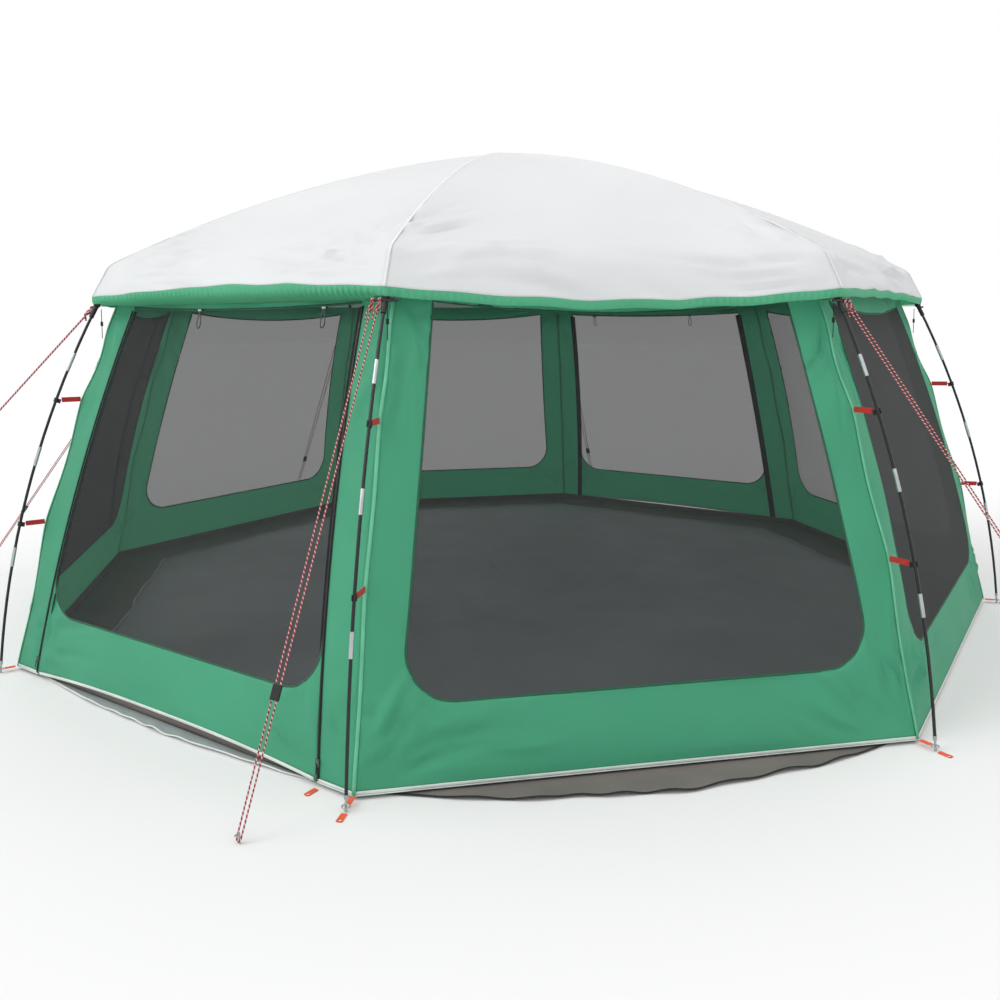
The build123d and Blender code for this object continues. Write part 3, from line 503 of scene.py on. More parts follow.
def creased(x, z, seed, anchors, count, height, width=0.012):
    """Height of thin creases that run towards each anchor (x, z, reach, direction, spread)."""
    rng = np.random.default_rng(seed)
    total = np.zeros_like(x)
    for ax, az, reach, direction, spread in anchors:
        for _ in range(count):
            angle = direction + rng.normal(0, spread)
            near = rng.uniform(0.02, 0.35) * reach
            far = near + rng.uniform(0.25, 0.75) * reach
            aside = rng.normal(0, 0.06) * reach
            size = height * rng.uniform(0.3, 1.0) * rng.choice([-1, 1])
            broad = width * rng.uniform(0.6, 1.6)
            dx, dz = x - ax, z - az
            along = dx * cos(angle) + dz * sin(angle)
            beside = -dx * sin(angle) + dz * cos(angle) - aside - 0.04 * np.sin(along / reach * 5)
            fade = smoothstep(along, near, near + 0.3 * (far - near))
            fade *= 1 - smoothstep(along, far - 0.4 * (far - near), far)
            total += size * fade * np.exp(-((beside / broad) ** 2))
    return total


def swells(x, z, seed, height, wave=0.45):
    """Slow uneven swells of a cloth under light tension."""
    rng = np.random.default_rng(seed)
    total = np.zeros_like(x)
    for _ in range(7):
        angle, phase = rng.uniform(0, pi), rng.uniform(0, 2 * pi)
        size = wave * rng.uniform(0.6, 1.5)
        total += np.sin((x * cos(angle) + z * sin(angle)) * 2 * pi / size + phase)
    return total * height / 3


# --- guy ropes
ROPE_R = 0.0025
ROPE_START = 0.0052
ROPE_TOP_OFFSETS = (0.015, 0.039)
ROPE_FOOT_HALF = 0.0065
ROPE_FOOT_Z = 0.008
GUYS = {  # corner number, run over the ground, turn from straight out, length of the rope
    "front_left": (7, 1.4, -10, 4.054),
    "front_right": (0, 0.755, -18, 3.31),
    "right": (1, 1.05, 35, 3.604),
    "rear_right": (3, 0.78, 16, 3.333),
    "rear_left": (4, 0.76, -18, 3.314),
    "left_rear": (5, 0.8, 15, 3.352),
    "left_front": (6, 1.1, 30, 3.663),
}


def corner_axes(number):
    """Outward and sideways directions at a corner."""
    angle = -pi / 2 + HALF + STEP * number
    return Vector((cos(angle), sin(angle), 0)), Vector((-sin(angle), cos(angle), 0)), angle


def guy_route(number, run, turn):
    """The rope's route: from the bar to the peg's two sides and back to the bar."""
    out, across, radial = corner_axes(number)
    side = 1 if turn > 0 else -1
    bar = out * GUY_BAR[0] + Vector((0, 0, GUY_BAR[1]))
    tops = [bar + across * (side * offset) for offset in ROPE_TOP_OFFSETS]
    heading = radial + radians(turn)
    foot = out * HUB[0] + Vector((cos(heading), sin(heading), 0)) * run
    foot.z = ROPE_FOOT_Z
    down = (foot - (tops[0] + tops[1]) / 2).normalized()
    beside = across * side
    beside = (beside - down * beside.dot(down)).normalized()
    feet = [foot - beside * ROPE_FOOT_HALF, foot + beside * ROPE_FOOT_HALF]
    starts = [top + (low - top).normalized() * ROPE_START for top, low in zip(tops, feet)]
    return [starts[0], feet[0], feet[1], starts[1]], tops, across * side


def spline_points(route):
    """Points read from a smooth open NURBS spline with these control points."""
    data = bpy.data.curves.new("route", "CURVE")
    data.dimensions = "3D"
    data.resolution_u = 24
    spline = data.splines.new("NURBS")
    spline.points.add(len(route) - 1)
    for point, place in zip(spline.points, route):
        point.co = (*place, 1)
    spline.order_u = 3
    spline.use_endpoint_u = True
    made = bpy.data.objects.new("route", data)
    bpy.context.scene.collection.objects.link(made)
    bpy.context.view_layer.update()
    mesh = bpy.data.meshes.new_from_object(made)
    points = [v.co.copy() for v in mesh.vertices]
    bpy.data.objects.remove(made)
    return points


BAR_TURNS, BAR_TURN_R, BAR_TURNS_HALF = 2.5, 0.0064, 0.0052
KNOT_DROP, KNOT_TURNS, KNOT_R, KNOT_LENGTH = 0.014, 4, 0.0046, 0.021
KNOT_ROPE_R = 0.0023


def knot(name, top, across, toward):
    """Rope end tied on the bar: turns round the bar, a wound knot below it and a short tail."""
    down = toward.normalized()
    beside = across.normalized()
    front = beside.cross(down).normalized()
    path = []
    for i in range(61):
        a = 2 * pi * BAR_TURNS * i / 60
        round_bar = (front * cos(a) + down * sin(a)) * BAR_TURN_R
        path.append(top + beside * (BAR_TURNS_HALF * (i / 30 - 1)) + round_bar)
    centre = top + down * KNOT_DROP
    for i in range(1, 121):
        a = 2 * pi * KNOT_TURNS * i / 120
        swell = KNOT_R + 0.0016 * sin(pi * i / 120)
        path.append(centre + down * (KNOT_LENGTH * i / 120) + (front * cos(a) + beside * sin(a)) * swell)
    end = path[-1]
    for i in range(1, 13):  # the tail
        s = i / 12
        path.append(end + beside * (0.016 * s) + Vector((0, 0, -0.03 * s * s)) + front * 0.004 * sin(pi * s))
    return tube(name, path, (KNOT_ROPE_R, KNOT_ROPE_R), guy_rope)


HOOK = 12 * ROPE_R  # six diameters
for guy, (number, run, turn, length) in GUYS.items():
    route, tops, sideways = guy_route(number, run, turn)
    start, first_side, other_side, end = route
    down, up = first_side - start, end - other_side
    points = spline_points([start, first_side - down.normalized() * HOOK, first_side,
                            other_side, other_side + up.normalized() * HOOK, end])
    rope = tube(f"guy_rope_{guy}", points, (ROPE_R, ROPE_R), guy_rope)
    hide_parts(f"guy_line_{guy}")
    knots = [knot(f"guy_knot_{guy}_{i + 1}", tops[i], sideways, away) for i, away in enumerate((down, -up))]

# --- outlines of windows and doors
SIDE_POINTS, LEVEL_POINTS, ARC_POINTS = 70, 84, 21


def rounded(corner, before, after, radius):
    """Arc that rounds a corner between two neighbours, from the before side to the after side."""
    c, p, n = (np.array(v, float) for v in (corner, before, after))
    u, v = unit(p - c), unit(n - c)
    half = np.arccos(np.clip(u @ v, -1, 1)) / 2
    centre = c + unit(u + v) * radius / sin(half)
    first, last = c + u * radius / tan(half) - centre, c + v * radius / tan(half) - centre
    total = pi - 2 * half
    turns = np.linspace(0, 1, ARC_POINTS)[:, None]
    return centre + (np.sin((1 - turns) * total) * first + np.sin(turns * total) * last) / sin(total)


def window_outline(grow=0.0):
    """Lower, right, upper and left part of a window's edge, each from its own corner's middle."""
    low, top = WINDOW_LOW_HALF + grow, WINDOW_TOP_HALF + grow
    z_low, z_top = WINDOW_LOW_Z - grow, WINDOW_TOP_Z + grow
    right_arc = rounded((low, z_low), (-low, z_low), (top, z_top), WINDOW_CORNER + grow)
    left_arc = right_arc[::-1] * (-1, 1)
    middle = ARC_POINTS // 2
    lower = np.vstack([left_arc[middle:], right_arc[: middle + 1]])
    side = np.vstack([right_arc[middle:], [(top, z_top)]])
    across = np.linspace(top, -top, LEVEL_POINTS + 1)
    upper = np.stack([across, z_top - WINDOW_SAG * (1 - (across / top) ** 2)], 1)
    return (resampled(lower, LEVEL_POINTS + 1), resampled(side, SIDE_POINTS + 1), upper,
            resampled((side * (-1, 1))[::-1], SIDE_POINTS + 1))


def loop_of(parts):
    return np.vstack([p[:-1] for p in parts])


def wall_outline():
    """Edge of a whole wall, in the same four parts."""
    z = np.linspace(HEM_Z, WALL_TOP_Z, SIDE_POINTS + 1)
    side = np.stack([wall_reach(z), z], 1)
    level_line = np.linspace(-1, 1, LEVEL_POINTS + 1)
    lower = np.stack([level_line * wall_reach(HEM_Z), np.full_like(level_line, HEM_Z)], 1)
    upper = np.stack([-level_line * wall_reach(WALL_TOP_Z), np.full_like(level_line, WALL_TOP_Z)], 1)
    return lower, side, upper, (side * (-1, 1))[::-1]


HEADER_Z = 1.455  # above it the cloth is gathered
WALL_ANCHORS = mirrored([
    (-0.94, 0.03, 0.75, radians(40), 0.35),
    (-0.78, 0.3, 0.3, radians(235), 0.5),
    (-0.76, 1.5, 0.5, radians(-70), 0.25),
    (-0.76, 1.5, 0.6, radians(-12), 0.08),
])


def cloth_relief(x, z, number, pucker):
    """How far the green cloth stands out of or back from its smooth shape."""
    reach = wall_reach(z)
    out = creased(x, z, 40 + number, WALL_ANCHORS, 24, 0.0085)
    out += swells(x, z, 80 + number, 0.003)
    top = smoothstep(z, HEADER_Z - 0.01, HEADER_Z + 0.03)
    roll = np.clip((z - HEADER_Z) / (WALL_TOP_Z - HEADER_Z), 0, 1)
    out += 0.006 * top * np.sin(roll * pi)  # the header's soft roll
    ripple = np.sin(2 * pi * (x / 0.026 + 0.5 * np.sin(x * 9 + number)) + 3 * z)
    out += pucker * top * ripple * (0.6 + 0.4 * np.sin(x * 17 + number))
    hem = 1 - smoothstep(z, 0.03, 0.1)
    out += 0.0012 * hem * np.sin(2 * pi * x / 0.05 + 2 * np.sin(x * 7 + number))
    edge = smoothstep(reach - np.abs(x), 0.0, 0.03)  # the corner seams hold the cloth, and its tape the hem
    return out * edge * smoothstep(z, HEM_Z + 0.012, HEM_Z + 0.045)


# --- window walls
RINGS = 18
CLOTH_THICK = 0.0012
BINDING = (0.0045, 0.0019)  # half width and half thickness


def bound_edge(name, number, edge, size, body="house", closed=False):
    """Flat binding along an edge (x, z) of a wall's cloth."""
    along = np.roll(edge, -1, 0) - np.roll(edge, 1, 0) if closed else np.gradient(edge, axis=0)
    along = unit(along)
    side = on_wall(number, edge[:, 0] - along[:, 1], edge[:, 1] + along[:, 0]) - on_wall(number, *edge.T)
    return tube(name, on_wall(number, *edge.T), size, green_binding, body, closed=closed, across=side)


def window_wall(name, number):
    outer, inner = loop_of(wall_outline()), loop_of(window_outline())
    shares = np.linspace(0, 1, RINGS)[:, None, None]
    flat = outer[None] * (1 - shares) + inner[None] * shares
    x, z = flat[..., 0], flat[..., 1]
    out = cloth_relief(x, z, number, 0.0014) * (1 - smoothstep(shares[..., 0], 0.93, 1.0))
    made = grid_piece(name + "_cloth", on_wall(number, x, z, out), green_cloth, closed=True)
    thicken(made, CLOTH_THICK)
    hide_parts(name)
    trim = bound_edge(name + "_window_binding", number, inner, BINDING, closed=True)


def window_net(number):
    """The net of one window wall, its edge hidden under the binding."""
    grow = 0.003
    outline = window_outline(grow)
    side = outline[1]
    level_part = outline[0][np.abs(outline[0][:, 1] - (WINDOW_LOW_Z - grow)) < 1e-6]
    edge = np.vstack([[level_part[-1]], outline[0][outline[0][:, 0] > level_part[-1][0]], side[1:]])
    arc_top = WINDOW_LOW_Z + WINDOW_CORNER
    z_rows = np.r_[np.linspace(edge[0][1], arc_top, 16), np.linspace(arc_top, WINDOW_TOP_Z + grow, 40)[1:]]
    half = np.interp(z_rows, edge[:, 1], edge[:, 0])
    u = np.linspace(-1, 1, 49)
    x = half[:, None] * u[None]
    sag = WINDOW_SAG * smoothstep(z_rows, 0.9, WINDOW_TOP_Z)[:, None] * (1 - (x / half[:, None]) ** 2)
    z = z_rows[:, None] - sag
    share = np.clip((z - WINDOW_LOW_Z) / (WINDOW_TOP_Z - WINDOW_LOW_Z), 0, 1)
    inside = (1 - u[None] ** 2) * np.sin(share * pi)
    out = -0.006 * inside + swells(x, z, 120 + number, 0.0015, 0.6) * inside
    return on_wall(number, x, z, out).reshape(-1, 3), grid_faces(len(z_rows), len(u))


for name, number in WINDOW_WALLS.items():
    window_wall(name, number)

net_points, net_faces = [], []
for number in WINDOW_WALLS.values():
    points, faces = window_net(number)
    start = sum(len(p) for p in net_points)
    net_points.append(points)
    net_faces += [tuple(start + i for i in f) for f in faces]
nets = piece("window_nets", np.vstack(net_points), net_faces, net)
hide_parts("window_meshes")


# --- door walls, doors
def door_top_edge(x):
    return DOOR_TOP_Z - DOOR_SAG * np.clip(1 - (x / ZIP_TOP_HALF) ** 2, 0, 1)


def door_wall(place, number):
    """Header and side strips round a door, as one cloth."""
    strip, middle = 9, 90
    low_rows, top_rows = 70, 12
    shares = np.r_[np.linspace(0, 1, low_rows), np.linspace(1, 2, top_rows)[1:]]
    z_side = np.where(shares <= 1, HEM_Z + (DOOR_TOP_Z - HEM_Z) * np.minimum(shares, 1),
                      DOOR_TOP_Z + (WALL_TOP_Z - DOOR_TOP_Z) * (shares - 1))
    inner, outer = zip_half(z_side), wall_reach(z_side)
    left = -outer[:, None] + (outer - inner)[:, None] * np.linspace(0, 1, strip)[None]
    centre = inner[:, None] * np.linspace(-1, 1, middle)[None, 1:-1]
    x = np.hstack([left, centre, -left[:, ::-1]])
    lift = np.clip(shares[:, None] - 1, 0, 1)
    bottom = door_top_edge(x)
    z_header = bottom + (WALL_TOP_Z - bottom) * lift
    z = np.where((shares[:, None] >= 1) & (np.abs(x) < inner[:, None] - 1e-9), z_header, z_side[:, None])
    beside_zip = smoothstep(np.abs(x) - zip_half(z), 0.016, 0.036)
    in_header = (shares[:, None] >= 1) & (np.abs(x) < inner[:, None])
    relief = cloth_relief(x, z, number, 0.0042)
    relief = relief * np.where(in_header, smoothstep(z - bottom, 0.006, 0.024), beside_zip)
    points = on_wall(number, x, z, relief)
    first_top = low_rows - 1
    cuts = {
        "left_strip": points[:, :strip],
        "header": points[first_top:, strip - 1 : 1 - strip],
        "right_strip": points[:, -strip:],
    }
    for word, cut in cuts.items():
        thicken(grid_piece(f"{place}_door_wall_{word}", cut, green_cloth), CLOTH_THICK)
    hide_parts(f"{place}_door_wall")
    edge_x = np.linspace(-ZIP_TOP_HALF, ZIP_TOP_HALF, 80)
    edge = on_wall(number, edge_x, door_top_edge(edge_x) + 0.003, 0.0004)
    trim = tube(f"{place}_door_header_binding", edge, BINDING, green_binding, across=UPRIGHT)


DOOR_COLUMNS = 121


def door_edges():
    """Lower, middle and upper edge of a door's cloth: hem, top of the green panel, and header."""
    low = zip_half(WINDOW_LOW_Z)
    top = zip_half(DOOR_TOP_Z)
    arc = rounded((low, WINDOW_LOW_Z), (-low, WINDOW_LOW_Z), (top, DOOR_TOP_Z), WINDOW_CORNER)
    middle = resampled(np.vstack([(arc * (-1, 1))[::-1], arc]), DOOR_COLUMNS)
    middle[0, 0] = -(zip_half(middle[0, 1]) - DOOR_GAP)
    middle[-1, 0] = -middle[0, 0]
    u = np.linspace(-1, 1, DOOR_COLUMNS)
    arch = HEM_ARCH * (1 - np.abs(u) ** 2.5)
    lower = np.stack([u * (zip_half(HEM_Z) - DOOR_GAP), HEM_Z + arch], 1)
    upper_x = u * (ZIP_TOP_HALF - DOOR_GAP)
    upper = np.stack([upper_x, door_top_edge(upper_x) - DOOR_GAP], 1)
    return lower, middle, upper


def between(low, high, rows):
    shares = np.linspace(0, 1, rows)[:, None, None]
    flat = low[None] * (1 - shares) + high[None] * shares
    return flat[..., 0], flat[..., 1], shares[..., 0]


def door(place, number):
    body = f"{place}_door"
    lower, middle, upper = door_edges()
    x, z, share = between(lower, middle, 18)
    held = (1 - smoothstep(share, 0.9, 1.0)) * smoothstep(share, 0.05, 0.2)
    relief = cloth_relief(x, z, number + 20, 0) * held * smoothstep(zip_half(z) - np.abs(x), 0, 0.02)
    hem = grid_piece(f"{place}_door_hem_cloth", on_wall(number, x, z, relief), green_cloth, body)
    thicken(hem, CLOTH_THICK)
    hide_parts(f"{place}_door_hem")
    x, z, share = between(middle + (0, -0.003), upper, 50)
    inside = np.sin(share * pi) * (1 - np.linspace(-1, 1, DOOR_COLUMNS)[None] ** 2)
    out = -0.005 * inside + swells(x, z, 140 + number, 0.0015, 0.6) * inside
    door_net = grid_piece(f"{place}_door_net", on_wall(number, x, z, out), net, body)
    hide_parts(f"{place}_door_mesh")
    trim = bound_edge(f"{place}_door_net_binding", number, middle, (0.0042, 0.0018), body)
    inset = lower[1:-1] + (0, 0.002)
    edge = tube(f"{place}_door_hem_piping", on_wall(number, *inset.T, 0.0006), (0.0065, 0.0022), piping, body,
                across=UPRIGHT, sides=10)
    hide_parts(f"{place}_door_piping")


for place, number in DOORS.items():
    door_wall(place, number)
    door(place, number)

# --- hem tapes
HEM_TAPE = (0.0055, 0.0014)  # half width and half thickness


def hem_tape(name, number, low_x, high_x):
    x = np.linspace(low_x, high_x, 60)
    tube(name, on_wall(number, x, HEM_Z + HEM_TAPE[0], 0.0014), HEM_TAPE, piping, across=UPRIGHT)


hem_end, zip_foot = wall_reach(HEM_Z) - 0.004, zip_half(HEM_Z) + 0.004
for name, number in WINDOW_WALLS.items():
    hem_tape(name + "_hem_tape", number, -hem_end, hem_end)
for place, number in DOORS.items():
    hem_tape(f"{place}_hem_tape_left", number, -hem_end, -zip_foot)
    hem_tape(f"{place}_hem_tape_right", number, zip_foot, hem_end)

# --- corner seams
for number in range(SIDES):
    z = np.linspace(HEM_Z, WALL_TOP_Z - 0.01, 60)
    out, across, _ = corner_axes(number)
    distance = wall_flat(z) / FLAT - hollow(z)
    line = np.outer(distance + 0.0005, out) + np.outer(z, UPRIGHT)
    tube(f"corner_seam_{number}", line, (0.0065, 0.0022), seam_cloth, across=across)


# --- zips
TAPE_HALF, LINING_HALF, TAPE_THICK = 0.006, 0.019, 0.0008
COIL_ASIDE, LINING_ASIDE = 0.0065, 0.004  # places beside the door's edge
COIL_PITCH, COIL_OUT = 0.0028, 0.0034
TOOTH, TOOTH_LEAN = (0.0028, 0.001, 0.0009), 0.0006  # half sizes of one tooth of the coil


def zipper(name, number, side):
    """Tape and interlocked coil of one zip, fixed to the wall beside the door."""
    z = np.linspace(HEM_Z + 0.004, DOOR_TOP_Z - 0.01, 70)
    x = side * (zip_half(z) + COIL_ASIDE)
    across = turned((1.0, 0, 0), number)
    tube(name + "_tape", on_wall(number, x, z, 0.0022), (TAPE_HALF, TAPE_THICK), zip_tape, across=across)
    x = side * (zip_half(z) + LINING_ASIDE)
    tube(name + "_lining", on_wall(number, x, z, -0.0042), (LINING_HALF, TAPE_THICK), zip_tape, across=across)
    count = int((DOOR_TOP_Z - HEM_Z - 0.02) / COIL_PITCH)
    points, faces = [], []
    a, b, c = np.array([(a, b, c) for a in (-1, 1) for b in (-1, 1) for c in (-1, 1)]).T
    box = ((0, 1, 3, 2), (4, 6, 7, 5), (0, 4, 5, 1), (2, 3, 7, 6), (0, 2, 6, 4), (1, 5, 7, 3))
    for i in range(count):
        height = HEM_Z + 0.01 + i * COIL_PITCH
        middle = side * (zip_half(height) + COIL_ASIDE)
        lean = TOOTH_LEAN if i % 2 else -TOOTH_LEAN
        faces += [tuple(len(points) + j for j in f) for f in box]
        points += list(on_wall(number, middle + a * TOOTH[0] + lean * b, height + b * TOOTH[1],
                               COIL_OUT + c * TOOTH[2]))
    return piece(name + "_coil", points, faces, zip_black, smooth=False)


coils = [zipper(f"{place}_zip_{word}", number, side)
         for place, number in DOORS.items() for word, side in (("right", 1), ("left", -1))]
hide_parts("zip_tracks")


# --- door ties
def lathe(name, path, axis, profile, finish, body):
    """A turned piece: profile is (distance along the axis, radius)."""
    axis = Vector(axis).normalized()
    side = axis.cross(Vector(UPRIGHT)).normalized()
    up = axis.cross(side)
    turns = 16
    points = [Vector(path) + axis * s + (side * cos(2 * pi * i / turns) + up * sin(2 * pi * i / turns)) * r
              for s, r in profile for i in range(turns)]
    faces = grid_faces(len(profile), turns, closed=True)
    faces += end_faces(len(profile), turns)
    return piece(name, points, faces, finish, body)


ELASTIC_R = 0.0019
LOOP_HALF = (0.0085, 0.034)  # half the width and length of a hanging loop
TOGGLE = [(-0.009, 0.0036), (-0.0085, 0.0042), (-0.003, 0.0040), (0, 0.0043), (0.003, 0.0040),
          (0.0085, 0.0042), (0.009, 0.0036)]
TOGGLE_CAP = [(0.009, 0.0030), (0.0092, 0.0041), (0.0118, 0.0040), (0.0130, 0.0030), (0.0134, 0.0012)]


def tie(place, word, number, x):
    """Toggle with dark ends and its hanging elastic loop."""
    name, body = f"{place}_tie_{word}", f"{place}_tie_{word}"
    z = DOOR_TOP_Z - 0.012
    at = Vector(turned([[x, -(float(wall_flat(z)) + 0.007), z]], number)[0])
    axis = Vector(turned((1.0, 0, 0), number))
    outward = Vector(turned((0, -1.0, 0), number))
    toggle = lathe(name + "_toggle", at, axis, TOGGLE, toggle_white, body)
    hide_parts(name)
    for end, side in (("a", 1), ("b", -1)):
        lathe(f"{name}_cap_{end}", at, axis * side, TOGGLE_CAP, hub_black, body)
    lean = Vector((0, 0, -1)) + outward * 0.22
    path = []
    for i in range(48):
        a = 2 * pi * i / 48
        path.append(at + outward * 0.001 + axis * (LOOP_HALF[0] * sin(a) * (1 - 0.35 * cos(a)))
                    + lean * (LOOP_HALF[1] - LOOP_HALF[1] * cos(a)) + outward * (0.002 * sin(2 * a)))
    tube(name + "_loop", path, (ELASTIC_R, ELASTIC_R), elastic_grey, body, closed=True)


for place, number in DOORS.items():
    for word, x in zip(("left", "right"), DOOR_TIES[place]):
        tie(place, word, number, x)

# --- roof cover
VALANCE = (2.078 * FLAT, 1.519)
SHOULDER = (2.008 * FLAT, 1.664)
ROOF_BOW = 0.085
SHOULDER_RADIUS = 0.08
SCALLOPS = (-0.024, 0.042, -0.01, 0.008, -0.024, 0.008, 0.008, 0.008)  # how far the edge hangs on each side
EDGE_RISE = 0.018
SMOOTH_RUN, SMOOTH_SHARE = 0.62, 0.8  # between the poles the cover cuts the shoulder short
GORE_ANCHORS = mirrored([
    (-0.79, 0.08, 0.95, radians(4), 0.1),
    (-0.77, 0.14, 0.7, radians(30), 0.22),
    (-0.76, 0.18, 0.5, radians(64), 0.18),
])


def u_shares(columns):
    """Places across a panel from -1 to 1, closer together near its seams."""
    u = np.linspace(-1, 1, columns)
    return np.sign(u) * np.abs(u) ** 0.85


def roof_line(count):
    """Points (distance, height) from the valance's lower edge to the apex, in a flat's plane."""
    centre, radius = circle_of(SHOULDER, bowed(SHOULDER, (0.0, APEX_Z), ROOF_BOW), (0.0, APEX_Z))
    line = unit(np.array(SHOULDER) - VALANCE)
    inward = np.array([-line[1], line[0]])
    offset = np.array(VALANCE) + SHOULDER_RADIUS * inward - centre
    half_b = offset @ line
    along = -half_b + sqrt(half_b**2 - offset @ offset + (radius - SHOULDER_RADIUS) ** 2)
    first = np.array(VALANCE) + along * line
    knee = first + SHOULDER_RADIUS * inward
    low = atan2(*(first - knee)[::-1])
    high = atan2(*(knee - centre)[::-1])
    bend = [knee + SHOULDER_RADIUS * np.array((cos(a), sin(a))) for a in np.linspace(low, high, 12)]
    top = pi / 2 + atan2(centre[0], APEX_Z - centre[1])
    dome = [centre + radius * np.array((cos(a), sin(a))) for a in np.linspace(high, top, 90)[1:]]
    dome[-1] = np.array((0.0, APEX_Z))
    path = np.vstack([[VALANCE], bend, dome])
    run = path_steps(path)[-1] * np.linspace(0, 1, count) ** 1.25  # closer rows near the valance
    return at_distances(path, run), run


def cut_short(line, run):
    """The roof line with one wide bend in place of its shoulder, as the cover lies between two poles."""
    last = int(np.searchsorted(run, SMOOTH_RUN))
    start, end = line[0], line[last]
    rising, falling = line[1] - start, end - line[last + 1]
    reach = np.linalg.solve(np.stack([rising, -falling], 1), end - start)[0]
    t = np.linspace(0, 1, 200)[:, None]
    bend = (1 - t) ** 2 * start + 2 * t * (1 - t) * (start + reach * rising) + t**2 * end
    wanted = path_steps(bend)[-1] * run[: last + 1] / run[last]
    return np.vstack([at_distances(bend, wanted), line[last + 1 :]])


def gore(number, rows, columns):
    """One of the cover's eight panels."""
    line, run = roof_line(rows)
    u = u_shares(columns)
    share = SMOOTH_SHARE * (1 - np.abs(u) ** 2.4)
    fall = (cut_short(line, run) - line)[:, None] * share[None, :, None]
    distance, height = line[:, 0], line[:, 1]
    slope = unit(np.gradient(line, axis=0))
    normal = np.stack([slope[:, 1], -slope[:, 0]], 1)  # out and up
    half = distance * tan(HALF)
    x = half[:, None] * u[None]
    s = run[:, None] + 0 * x
    out = creased(x, s, 200 + number, GORE_ANCHORS, 15, 0.0085, 0.011)
    out += creased(x, s, 260 + number, GORE_ANCHORS[:4], 5, 0.009, 0.03)
    out += swells(x, s, 230 + number, 0.0016, 0.8)
    sag = (1 - u[None] ** 2) * smoothstep(s, 0.1, 0.7) * (1 - smoothstep(s, 1.6, 2.05))
    out -= 0.012 * sag
    out = out * smoothstep(half[:, None] - np.abs(x), 0, 0.035) * (1 - smoothstep(s, 1.9, 2.05))
    out -= 0.00125
    ripple = 0.0025 * np.sin(17 * u + number) * (1 - u**4)
    scallop = EDGE_RISE - SCALLOPS[number] * (1 - np.abs(u) ** 1.7) + ripple
    scallop = scallop[None] * (1 - smoothstep(s, 0, 0.14))
    y = -(distance[:, None] + fall[..., 0] + normal[:, :1] * out)
    z = height[:, None] + fall[..., 1] + normal[:, 1:] * out + scallop
    return turned(np.stack([x, y, z], -1), number)


ROOF_ROWS, GORE_COLUMNS = 92, 57
COVER_THICK, BAND_THICK = 0.0018, 0.001
gores = [gore(n, ROOF_ROWS, GORE_COLUMNS) for n in range(SIDES)]
apex = Vector((0, 0, float(gores[0][-1, 0, 2])))
ring = np.hstack([g[:-1, :-1] for g in gores])  # neighbours share the seam between them
around = ring.shape[1]
cover_points = np.vstack([ring.reshape(-1, 3), [apex]])
cover_faces = grid_faces(ROOF_ROWS - 1, around, closed=True)
cover_faces += fan_faces((ROOF_ROWS - 2) * around, around, len(cover_points) - 1)
cover = thicken(piece("roof_cover_cloth", cover_points, cover_faces, cover_cloth), COVER_THICK)
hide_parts("roof_cover")
seams = [tube(f"roof_seam_{number}", gores[number][:-2, -1], (0.006, 0.0013), cover_seam,
              across=corner_axes(number)[1]) for number in range(SIDES)]


BAND_DROP = 0.03
BAND_ROWS, PLEATS, PLEAT_POINTS = 10, 480, 8
BAND_LOW_Z = 1.497  # lower edge of the band where it joins a door's header
BAND_RUN = VALANCE[0] - float(wall_flat(BAND_LOW_Z)) - 0.004  # how far it reaches back to that header


def edge_band(rim):
    """Gathered green band below the cover's edge. Over a door it reaches down and back to the header."""
    closed = resampled(np.vstack([rim, rim[:1]]), PLEATS * PLEAT_POINTS + 1)[:-1]
    outward = unit(closed * (1, 1, 0))
    run = np.arange(len(closed)) / PLEAT_POINTS  # in pleats
    wall = run * SIDES / PLEATS
    u = 2 * (wall % 1) - 1
    over_door = np.isin(wall.astype(int), list(DOORS.values())) * smoothstep(1 - np.abs(u), 0.02, 0.16)
    drop = BAND_DROP + over_door * (closed[:, 2] - BAND_LOW_Z - BAND_DROP)
    pleat = np.sin(2 * pi * run + 1.6 * np.sin(run * 0.37)) * (0.6 + 0.4 * np.sin(run * 0.13))
    depth = 0.0028 + 0.0042 * over_door
    share = np.linspace(0, 1, BAND_ROWS)[:, None]
    out = 0.0022 * np.sin(share * pi) + depth * pleat * np.sin(share * pi * 0.7) - 0.002 * share
    out -= BAND_RUN * over_door * share**4
    points = closed[None] + outward[None] * out[..., None] - (share * drop)[..., None] * np.array(UPRIGHT)
    return grid_piece("roof_edge_band", points, band_cloth_painted_light, closed=True)


trim = thicken(edge_band(ring[0]), BAND_THICK)

# --- groundsheet and mud flap
GROUNDSHEET_FLAT, FLAP_INNER_FLAT = 2.292, 2.01
GROUNDSHEET_THICK = 0.0008


def upside_down(faces):
    return [tuple(reversed(f)) for f in faces]


def octagon_sheet(distances, columns, relief):
    """Rings of an octagon at flat distances, with a height from relief(x, y, flat distance)."""
    rows = []
    for flat in distances:
        x = np.linspace(-1, 1, columns)[:-1] * flat * tan(HALF)
        side = np.stack([x, np.full_like(x, -flat), 0 * x], 1)
        rows.append(np.vstack([turned(side, number) for number in range(SIDES)]))
    points = np.array(rows)
    points[..., 2] = relief(points[..., 0], points[..., 1], np.array(distances)[:, None])
    return points


def floor_relief(x, y, flat):
    folds = np.zeros_like(x)
    for place in (-1.35, -0.45, 0.5, 1.4):  # where the sheet was folded for its bag
        folds += 0.0035 * np.exp(-(((x - place - 0.02 * np.sin(y * 3)) / 0.012) ** 2))
        folds += 0.003 * np.exp(-(((y - place - 0.02 * np.sin(x * 3 + 1)) / 0.012) ** 2))
    loose = creased(x, y, 300, [(0.6, -0.4, 1.8, a, 0.5) for a in (0.4, 2.4, 4.2)], 16, 0.004, 0.03)
    inside = 1 - smoothstep(flat, FLAP_INNER_FLAT - 0.08, FLAP_INNER_FLAT)
    return 0.001 + inside * (folds + np.abs(loose) + 0.002 + swells(x, y, 310, 0.0015, 0.7))


